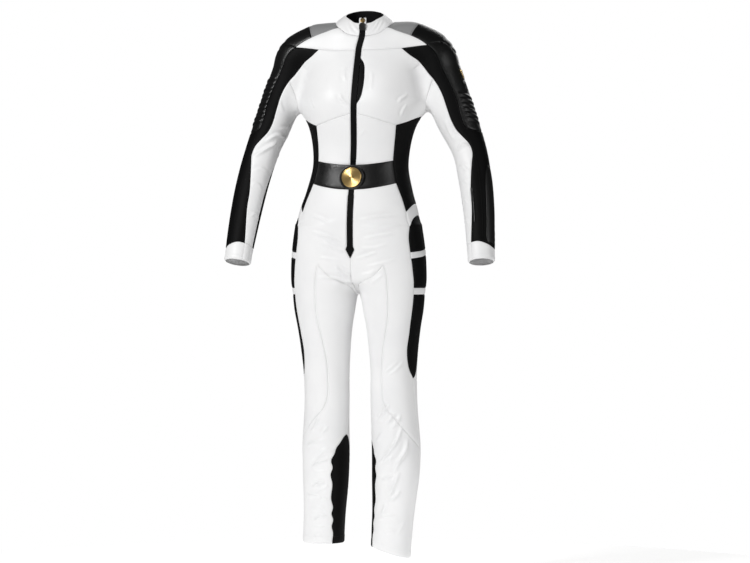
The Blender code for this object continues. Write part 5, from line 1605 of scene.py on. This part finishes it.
def rounded(width, top, bottom, radius, steps=6):
    """Outline of a plate with round corners: a quarter turn of each corner in turn."""
    turn = np.radians(np.linspace(0, 90, steps))
    corners = []
    for sx, y, sy, start in ((1, bottom, -1, 0), (-1, bottom, -1, 90), (-1, top, 1, 180), (1, top, 1, 270)):
        angle = turn + math.radians(start)
        corners.append(np.stack([sx * (width / 2 - radius) + radius * np.cos(angle),
                                 y + sy * radius + radius * np.sin(angle)], -1))
    return np.concatenate(corners)


def plate(width, top, bottom, radius, low, high, edge=0.0005, dish=0.0, rim=0.0016):
    """Rings of the outline stacked from back to front: rolled edges, and a dished face inside a rim."""
    levels = [(edge, low), (edge * 0.3, low + edge * 0.3), (0, low + edge), (0, high - edge),
              (edge * 0.3, high - edge * 0.3), (edge, high)]
    if dish:
        levels += [(rim, high), (rim + 0.0004, high - dish)]
    rings = []
    for inset, height in levels:
        ring = rounded(width - 2 * inset, top + inset, bottom - inset, max(radius - inset, 0.0002))
        rings.append(np.column_stack([ring, np.full(len(ring), height)]))
    return stacked(rings)


def barrel(radius, half, height, sides=20):
    """A round bar across the pull with softened ends."""
    turn = full_turn(sides)
    profile = ((-half, radius * 0.8), (-half * 0.94, radius), (half * 0.94, radius), (half, radius * 0.8))
    return stacked([np.stack([np.full(sides, x), r * np.sin(turn), height + r * np.cos(turn)], -1)
                    for x, r in profile])


def merged(parts):
    """Several closed shapes as one list of points and faces."""
    points, faces, start = [], [], 0
    for part_points, part_faces in parts:
        points.append(part_points)
        faces += [[i + start for i in face] for face in part_faces]
        start += len(part_points)
    return np.concatenate(points), faces


def fitting(name, shape, pull, look, node, body="suit", swing=0.0):
    """Put a shape made in the pull's own axes (across, down, out) in its place."""
    points, faces = shape
    hinge, down, out = (np.array(v) for v in PULLS[pull][2:])
    out = unit(out)
    across = unit(np.cross(down, out))
    down = np.cross(out, across)
    x, y, z = points.T
    z = z - HINGE
    y, z = y * math.cos(swing) - z * math.sin(swing), y * math.sin(swing) + z * math.cos(swing)
    placed = hinge + x[:, None] * across + y[:, None] * down + z[:, None] * out
    mesh = mesh_object(name, placed, faces)
    flat = np.abs(np.array([p.normal for p in mesh.data.polygons]) @ out) > 0.9
    mesh.data.polygons.foreach_set("use_smooth", ~flat)
    return settle(mesh, look, node, body=body)

# %% The three pulls
def pull(name, slider_look, tab_look):
    """Slider: a body, a bridge and two ears. Tab: a knuckle, a shank and a dished plate."""
    (slide_w, slide_l), (tab_w, tab_l, tab_r) = PULLS[name][:2]
    half, ear = slide_w * 0.24, slide_w * 0.14
    slider = [plate(slide_w, -slide_l / 2, slide_l / 2, slide_w * 0.3, 0.0, SLIDER_DEEP, 0.0006),
              plate(slide_w * 0.62, -slide_l * 0.36, slide_l * 0.36, slide_w * 0.2, SLIDER_DEEP - 0.0004,
                    SLIDER_DEEP + 0.0004, 0.0003)]
    for sign in (-1, 1):
        points, faces = plate(ear, -KNUCKLE, KNUCKLE, ear * 0.3, SLIDER_DEEP / 2, HINGE + KNUCKLE, 0.0003)
        slider.append((points + (sign * (half + GAP + ear / 2), 0, 0), faces))
    fitting(f"{name}_slider_body", merged(slider), name, slider_look, f"{name}_slider")
    link, deep = (0.0085 if name == "neck" else KNUCKLE * 1.3), TAB_DEEP / 2
    tab = [plate(tab_w, link, tab_l, tab_r, HINGE - deep, HINGE + deep, 0.0005, 0.0003, tab_w * 0.14)]
    shank = [plate(half * 1.5, 0.0, max(link, tab_r) * 1.2, 0.0004, HINGE - deep * 0.76, HINGE + deep * 0.76,
                   0.0002), barrel(KNUCKLE, half, HINGE)]
    if name == "neck":
        fitting("neck_tab_link", merged(shank), name, slider_look, "neck_pull", "neck_tab", REST)
    else:
        tab += shank
    for step in range(3 if name == "neck" else 0):
        y = tab_l * (0.62 + 0.09 * step)
        tab.append(plate(tab_w * 0.46, y, y + 0.0011, 0.0005, HINGE, HINGE + deep + 0.0002, 0.0002))
    fitting(f"{name}_tab_plate", merged(tab), name, tab_look, f"{name}_pull", f"{name}_tab", REST)


pull("neck", gold_small, rubber_black)
pull("pocket", gold_small, gold_small)
pull("forearm", rubber_black, rubber_black)
print("pulls made")

# %% [markdown]
# ## Buckle
# A round gold plate on a black base closes the belt. Behind, the base follows the belt's curve; in front
# it is turned, with a lip round the plate. The plate is spun: slightly domed, with fine rings cut in it.

# %% Base and plate
BUCKLE_Z = -0.419          # height of the buckle's middle
BASE_R, DISC_R = 0.0340, 0.0270
BASE_OVER, BASE_DEEP, DISC_DEEP = 0.0007, 0.0050, 0.0042
RINGS, GROOVES = 112, 13   # stations across the plate, and grooves turned in it
GROOVE = 0.00011           # half depth of a groove


def buckle():
    """Rings of points (r cos t, y(r), r sin t), behind on the belt, in front on a turned profile."""
    turn = full_turn(96)
    middle_y = Straight().point(np.zeros(1), np.array([BUCKLE_Z]))[0, 1] - BASE_OVER
    face_y = middle_y - BASE_DEEP

    def ring(radius, lift):
        return np.stack([radius * np.cos(turn), np.full(96, face_y + lift),
                         BUCKLE_Z + radius * np.sin(turn)], -1)

    back = [Straight().point(r * np.cos(turn), BUCKLE_Z + r * np.sin(turn)) - (0, BASE_OVER, 0)
            for r in (0.004, 0.014, 0.024, BASE_R - 0.0006)]
    front = [ring(*row) for row in ((BASE_R - 0.0002, 0.0016), (BASE_R - 0.0010, 0.0004),
                                    (BASE_R - 0.0022, 0.0), (DISC_R + 0.0022, 0.0),
                                    (DISC_R + 0.0014, 0.0005), (0.010, 0.0005))]
    points, faces = stacked(back + front)
    settle(mesh_object("buckle_back", pose(points), faces), rubber_black, "buckle_base")
    share = np.r_[np.linspace(0.004, 0.90, RINGS), 0.925, 0.945, 0.965, 0.985, 1.0, 1.0, 0.99, 0.6]
    high = DISC_DEEP * (1 - 0.10 * share**2)
    high[:RINGS] += GROOVE * np.cos(math.tau * GROOVES * share[:RINGS])
    high[RINGS:] = DISC_DEEP * np.array([0.90, 0.96, 0.95, 0.84, 0.62, 0.10, 0.0, 0.0])
    rings = [ring(DISC_R * s, -GAP - h) for s, h in zip(share, high)]
    points, faces = stacked(rings)
    centre = pose(np.array([[0.0, face_y, BUCKLE_Z]]))[0]
    gold_spun = metal_look("gold_spun", (0.90, 0.64, 0.27), (0.62, 0.40, 0.14), 0.30, tuple(centre))
    settle(mesh_object("buckle_plate", pose(points), faces), gold_spun, "buckle_disc")


buckle()
print("buckle made")

# %% [markdown]
# ## Welts, pockets and strips on the sleeves
# The wearer's left sleeve has a short pocket zip with a gold pull and a small snap below it, a second
# welt along the front of the patch, and a long narrow leather strip down the forearm with its own zip.
# The right sleeve has a double seam along its patch. All lie on the sleeve, so they use its chart.

# %% Piping and welts
def welt(name, side, places, width, high, look):
    """A raised line of half round section that dies out at both ends."""
    path, out = on_sleeve(places, 0.003, side)
    t = np.linspace(0, 1, len(path))
    taper = np.clip(np.minimum(t, 1 - t) / 0.05, 0, 1)**0.5 * 0.8 + 0.2
    piece = settle(sweep(name, path, out, half_round(width, high), taper), look)


def overlay(name, places, look, lift, thick, side="L", spacing=0.0035):
    """A flat strip sewn on: a closed outline in the sleeve's chart, filled, and raised off the sleeve."""
    chart = CHARTS["sleeve"]
    loop = even_points(chart, np.array([*places, places[0]], float), spacing, 400)[:-1]
    points, normals, triangles, sign, flat, far, _place = fill(loop, chart, spacing)
    swell = 0.0006 * ease(far / 0.006) - 0.0005 * np.exp(-(far / 0.0012)**2)
    outer = points + normals * (lift + thick + swell)[:, None]
    inner = points + normals * lift
    piece = wall(name, outer, inner, triangles, np.arange(len(loop))[::sign], flat, side)
    settle(piece, look)


overlay("forearm_strip", ((90, 0.541), (94, 0.575), (90, 0.640), (84, 0.715), (80, 0.744), (58, 0.7435),
                          (37, 0.741), (38, 0.690), (42, 0.625), (49, 0.570), (60, 0.538), (76, 0.532)),
        leather_black, 0.0004, 0.0010)
# name, side, look, width, height, then the places that a welt passes
WELT_LOOKS = {"leather": leather_black, "coil": coil_black, "cloth": cloth_black}
for name, side, look, width, high, *places in table_rows("""
patch_welt_L L leather 0.0024 0.0011 29.5 0.262 29 0.3 31.5 0.34 30 0.372 33 0.405
patch_welt_R R leather 0.0024 0.0011 24.5 0.215 27.5 0.262 31.5 0.31 31.5 0.35 27 0.392 34 0.42
pocket_lip_a L leather 0.003 0.0013 71.5 0.252 71.5 0.285 72 0.322
pocket_lip_b L leather 0.003 0.0013 80.5 0.252 80.5 0.285 80 0.322
pocket_coil L coil 0.0032 0.0007 76 0.25 76 0.285 76 0.322
forearm_lip_a L cloth 0.0024 0.001 -10.5 0.592 -11 0.64 -13.5 0.69
forearm_lip_b L cloth 0.0024 0.001 -3.5 0.592 -4 0.64 -6.5 0.69
forearm_coil L coil 0.0026 0.0006 -7 0.59 -7.5 0.64 -10 0.69
forearm_fold_R R cloth 0.003 0.0009 26 0.56 27 0.62 24 0.69 22 0.735
forearm_fold_L L cloth 0.0026 0.0008 24 0.48 26 0.56 24 0.64 21 0.735
"""):
    welt(name, side, pairs(places), width, high, WELT_LOOKS[look])

# %% Snap below the pocket
def snap():
    """A small turned dome in a dark ring: rings of points on the sleeve's own axes."""
    centre, out = (rows[0] for rows in on_sleeve(((73.0, 0.2930), (73.0, 0.2950)), 0.001, "L"))
    side = unit(np.cross(out, (0, 0, 1)))
    up = np.cross(side, out)
    turn = full_turn(40)

    def rings(profile):
        return [centre + out * h + r * (np.cos(turn)[:, None] * side + np.sin(turn)[:, None] * up)
                for r, h in profile]

    ring = stacked(rings(((0.0070, 0.0), (0.0070, 0.0014), (0.0066, 0.0019), (0.0056, 0.0019),
                          (0.0052, 0.0014), (0.0030, 0.0012))))
    dome = stacked(rings(((0.0048, 0.0012), (0.0048, 0.0018), (0.0042, 0.0025), (0.0028, 0.0030),
                          (0.0010, 0.0032))))
    settle(mesh_object("snap_ring", *ring), rubber_black)
    settle(mesh_object("snap_dome", *dome), silver_dot)


snap()
print("sleeve fittings made")


# %% [markdown]
# ## Topstitching
# Rows of stitches run a few millimetres beside the seams. Each stitch is a tiny grain of thread, laid
# along the seam and half sunk in the cloth. A row is placed on the finished panels by looking for the
# nearest point of the cloth, so it follows every crease.

# %% Rows of stitches
STITCH = 0.0024                                      # length of a stitch
STITCH_STEP = 0.0034       # from one stitch to the next
BESIDE = 0.0030                                      # from the seam to its topstitching
# seams with a row on their left, on their right
ROWS = {1: """yoke star_low chest_edge underbust zip_a zip_b1 zip_b3 zip_c zip_d keyhole side_a side_b
    side_c side_d side_e side_f belt_top belt_low waist_rear back_centre seat_centre lap princess outer_low
    inner_seam knee_rear thigh_a_top thigh_a_low thigh_a_rear thigh_a_fore thigh_b_top thigh_b_low
    thigh_b_rear thigh_b_fore thigh_c_top thigh_c_rear thigh_c_fore calf_rear calf_fore sleeve_edge
    sleeve_rear sleeve_outer patch_fore patch_rear cap_outer grey_outer grey_front armhole_low armhole_rear
    cuff_a cuff_b""",
        -1: """yoke underbust side_a side_c side_d side_e side_f belt_top belt_low waist_rear princess
    sleeve_edge patch_fore cap_outer neck_side neck_front keyhole"""}


def cloth_tree():
    """All panels as one search tree, and for each face whether its cloth is white."""
    points, faces, white, start = [], [], [], 0
    for piece in panels:
        mesh = piece.data
        co = np.zeros(len(mesh.vertices) * 3)
        mesh.vertices.foreach_get("co", co)
        points.append(co.reshape(-1, 3))
        faces.append(face_corners(mesh).reshape(-1, 3) + start)
        start += len(mesh.vertices)
        white += [mesh.materials[0] == shell_white] * len(mesh.polygons)
    return BVHTree.FromPolygons(np.concatenate(points).tolist(), np.concatenate(faces).tolist()), white


def row_places(line, aside, side):
    """Posed stitch places beside an unposed line, with their ways, before they meet the cloth."""
    run = run_along(line)
    place = np.arange(STITCH_STEP, run[-1] - STITCH_STEP / 2, STITCH_STEP)
    centre = at_run(place, run, line)
    if len(centre) < 3:
        return centre[:0], centre[:0]
    out = outward(centre)
    across = unit(np.cross(out, np.gradient(centre, axis=0)))
    posed = pose((centre + across * aside + out * 0.004) * MIRROR[side])
    return posed, np.gradient(posed, axis=0)


def stitch_rows(tree, white):
    """Every stitch on the cloth, in thread of the cloth's own colour."""
    made = {"white": [], "black": []}
    lines = [(SEAM_POINTS[seam], way * BESIDE) for way, seams in ROWS.items() for seam in seams.split()]
    for name in ("hem_fore", "hem_rear", "hem_calf"):
        turn, down = CHARTS["body"].coords(SEAM_POINTS[name])
        lines.append((CHARTS["body"].point(unwrapped(turn), down + HEM_DEEP - 0.002), 0.0))
    turn = np.linspace(-30, 322, 60)
    lines.append((CHARTS["sleeve"].point(turn, np.full(60, CUFF_END - CUFF_DEEP + 0.0015)), 0.0))
    for line, aside in lines:
        for side in "LR":
            for place, way in zip(*row_places(line, aside, side)):
                near, normal, face, _far = tree.find_nearest(Vector(place), 0.012)
                if near is not None:
                    normal = normal if normal.dot(Vector(place) - near) > 0 else -normal
                    made["white" if white[face] else "black"].append((*near, *normal, *way))
    return {thread: np.array(rows) for thread, rows in made.items()}


def stitches():
    grain = bead(STITCH, 0.00055, 0.00048, 5)
    for thread, rows in stitch_rows(*cloth_tree()).items():
        near, out, along = rows[:, :3], rows[:, 3:6], rows[:, 6:]
        along = unit(along - out * (along * out).sum(1, keepdims=True))
        across = np.cross(out, along)
        look = thread_white if thread == "white" else thread_black
        piece = scattered(f"stitches_{thread}", look, *grain, near + out * 0.00008, (along, across, out))
        print(thread, "stitches:", len(rows))


stitches()


# %% [markdown]
# ## Stage
# The photograph was taken from far away with a long lens, a little to the side of the front, against
# white. The floor and the light are plain: one soft light from the upper left, a weaker one from the
# right, one from behind for the edges, and a pale surround that fills the shadows. The lens sees that
# surround as pure white, and gloss mirrors a dark one, so the blacks keep their depth.

# %% Floor, light and camera
def floor(below=0.10, radius=1.6, sides=96):
    """A level disc of pale ground."""
    turn = full_turn(sides)
    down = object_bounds()[0][2] - below
    rim = np.stack([radius * np.cos(turn), radius * np.sin(turn), np.full(sides, down)], -1)
    mesh = bpy.data.meshes.new("ground")
    mesh.from_pydata(rim.tolist(), [], [tuple(range(sides))])
    piece = bpy.data.objects.new("ground", mesh)
    bpy.context.scene.collection.objects.link(piece)
    look = Look("ground_white", Base_Color=(0.9, 0.9, 0.9, 1.0), Roughness=0.9,
                Emission_Color=(1.0, 1.0, 1.0, 1.0), Emission_Strength=0.45)
    mesh.materials.append(look.material)
    piece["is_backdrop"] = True


def soft_light(name, place, aim, size, power):
    """A square light turned towards a point."""
    light = bpy.data.lights.new(name, "AREA")
    light.shape, light.size, light.energy = "SQUARE", size, power
    lamp = bpy.data.objects.new(name, light)
    lamp.location = place
    lamp.rotation_euler = (Vector(aim) - Vector(place)).to_track_quat("-Z", "Y").to_euler()
    bpy.context.scene.collection.objects.link(lamp)


floor()
TURN = math.radians(12.25)
RIGHT = np.array([math.cos(TURN), math.sin(TURN), 0])
BEHIND = np.array([-math.sin(TURN), math.cos(TURN), 0])
AIM = RIGHT * 0.0409 + np.array([0, 0, -0.699])
DISTANCE, SEEN_WIDE, SENSOR = 7.6, 2.044, 36.0      # metres to the suit, metres across the picture, mm
# lights: name, metres behind, to the right of and above the suit's middle, size, watts
LIGHTS = (("key", -2.4, -2.2, 1.8, 0.6, 80), ("fill", -2.2, 2.6, 0.7, 1.2, 24),
          ("rim", 2.2, 0.8, 1.6, 1.6, 22))
for name, behind, right, up, size, power in LIGHTS:
    soft_light(name, AIM + BEHIND * behind + RIGHT * right + np.array([0, 0, up]), AIM, size, power)
SURROUND, MIRRORED = 0.31, 0.09      # strength of the surround that lights the suit, of the one gloss mirrors

world = bpy.data.worlds.new("white_surround")
world.use_nodes = True
tree = world.node_tree
surround = tree.nodes["Background"]
seen = tree.nodes.new("ShaderNodeBackground")      # what the lens sees; the suit is lit by a dimmer one
seen.inputs["Color"].default_value = (1.0, 1.0, 1.0, 1.0)
surround.inputs["Color"].default_value = (1.0, 0.995, 0.99, 1.0)
surround.inputs["Strength"].default_value = SURROUND
dark = tree.nodes.new("ShaderNodeBackground")      # what gloss mirrors: a dark studio
dark.inputs["Strength"].default_value = MIRRORED
rays = tree.nodes.new("ShaderNodeLightPath")
last = surround
for kind, other in (("Is Glossy Ray", dark), ("Is Camera Ray", seen)):
    either = tree.nodes.new("ShaderNodeMixShader")
    tree.links.new(rays.outputs[kind], either.inputs[0])
    tree.links.new(last.outputs[0], either.inputs[1])
    tree.links.new(other.outputs[0], either.inputs[2])
    last = either
tree.links.new(last.outputs[0], tree.nodes["World Output"].inputs[0])
bpy.context.scene.world = world
bpy.context.scene.view_settings.view_transform = "Standard"

camera = bpy.data.cameras.new("camera")
camera.lens = SENSOR * DISTANCE / SEEN_WIDE
eye = bpy.data.objects.new("camera", camera)
eye.location = AIM - BEHIND * DISTANCE
eye.rotation_euler = (math.radians(90), 0, TURN)
bpy.context.scene.collection.objects.link(eye)
bpy.context.scene.camera = eye

# %% Sizes of the imported model
low, high = CAD_BOX
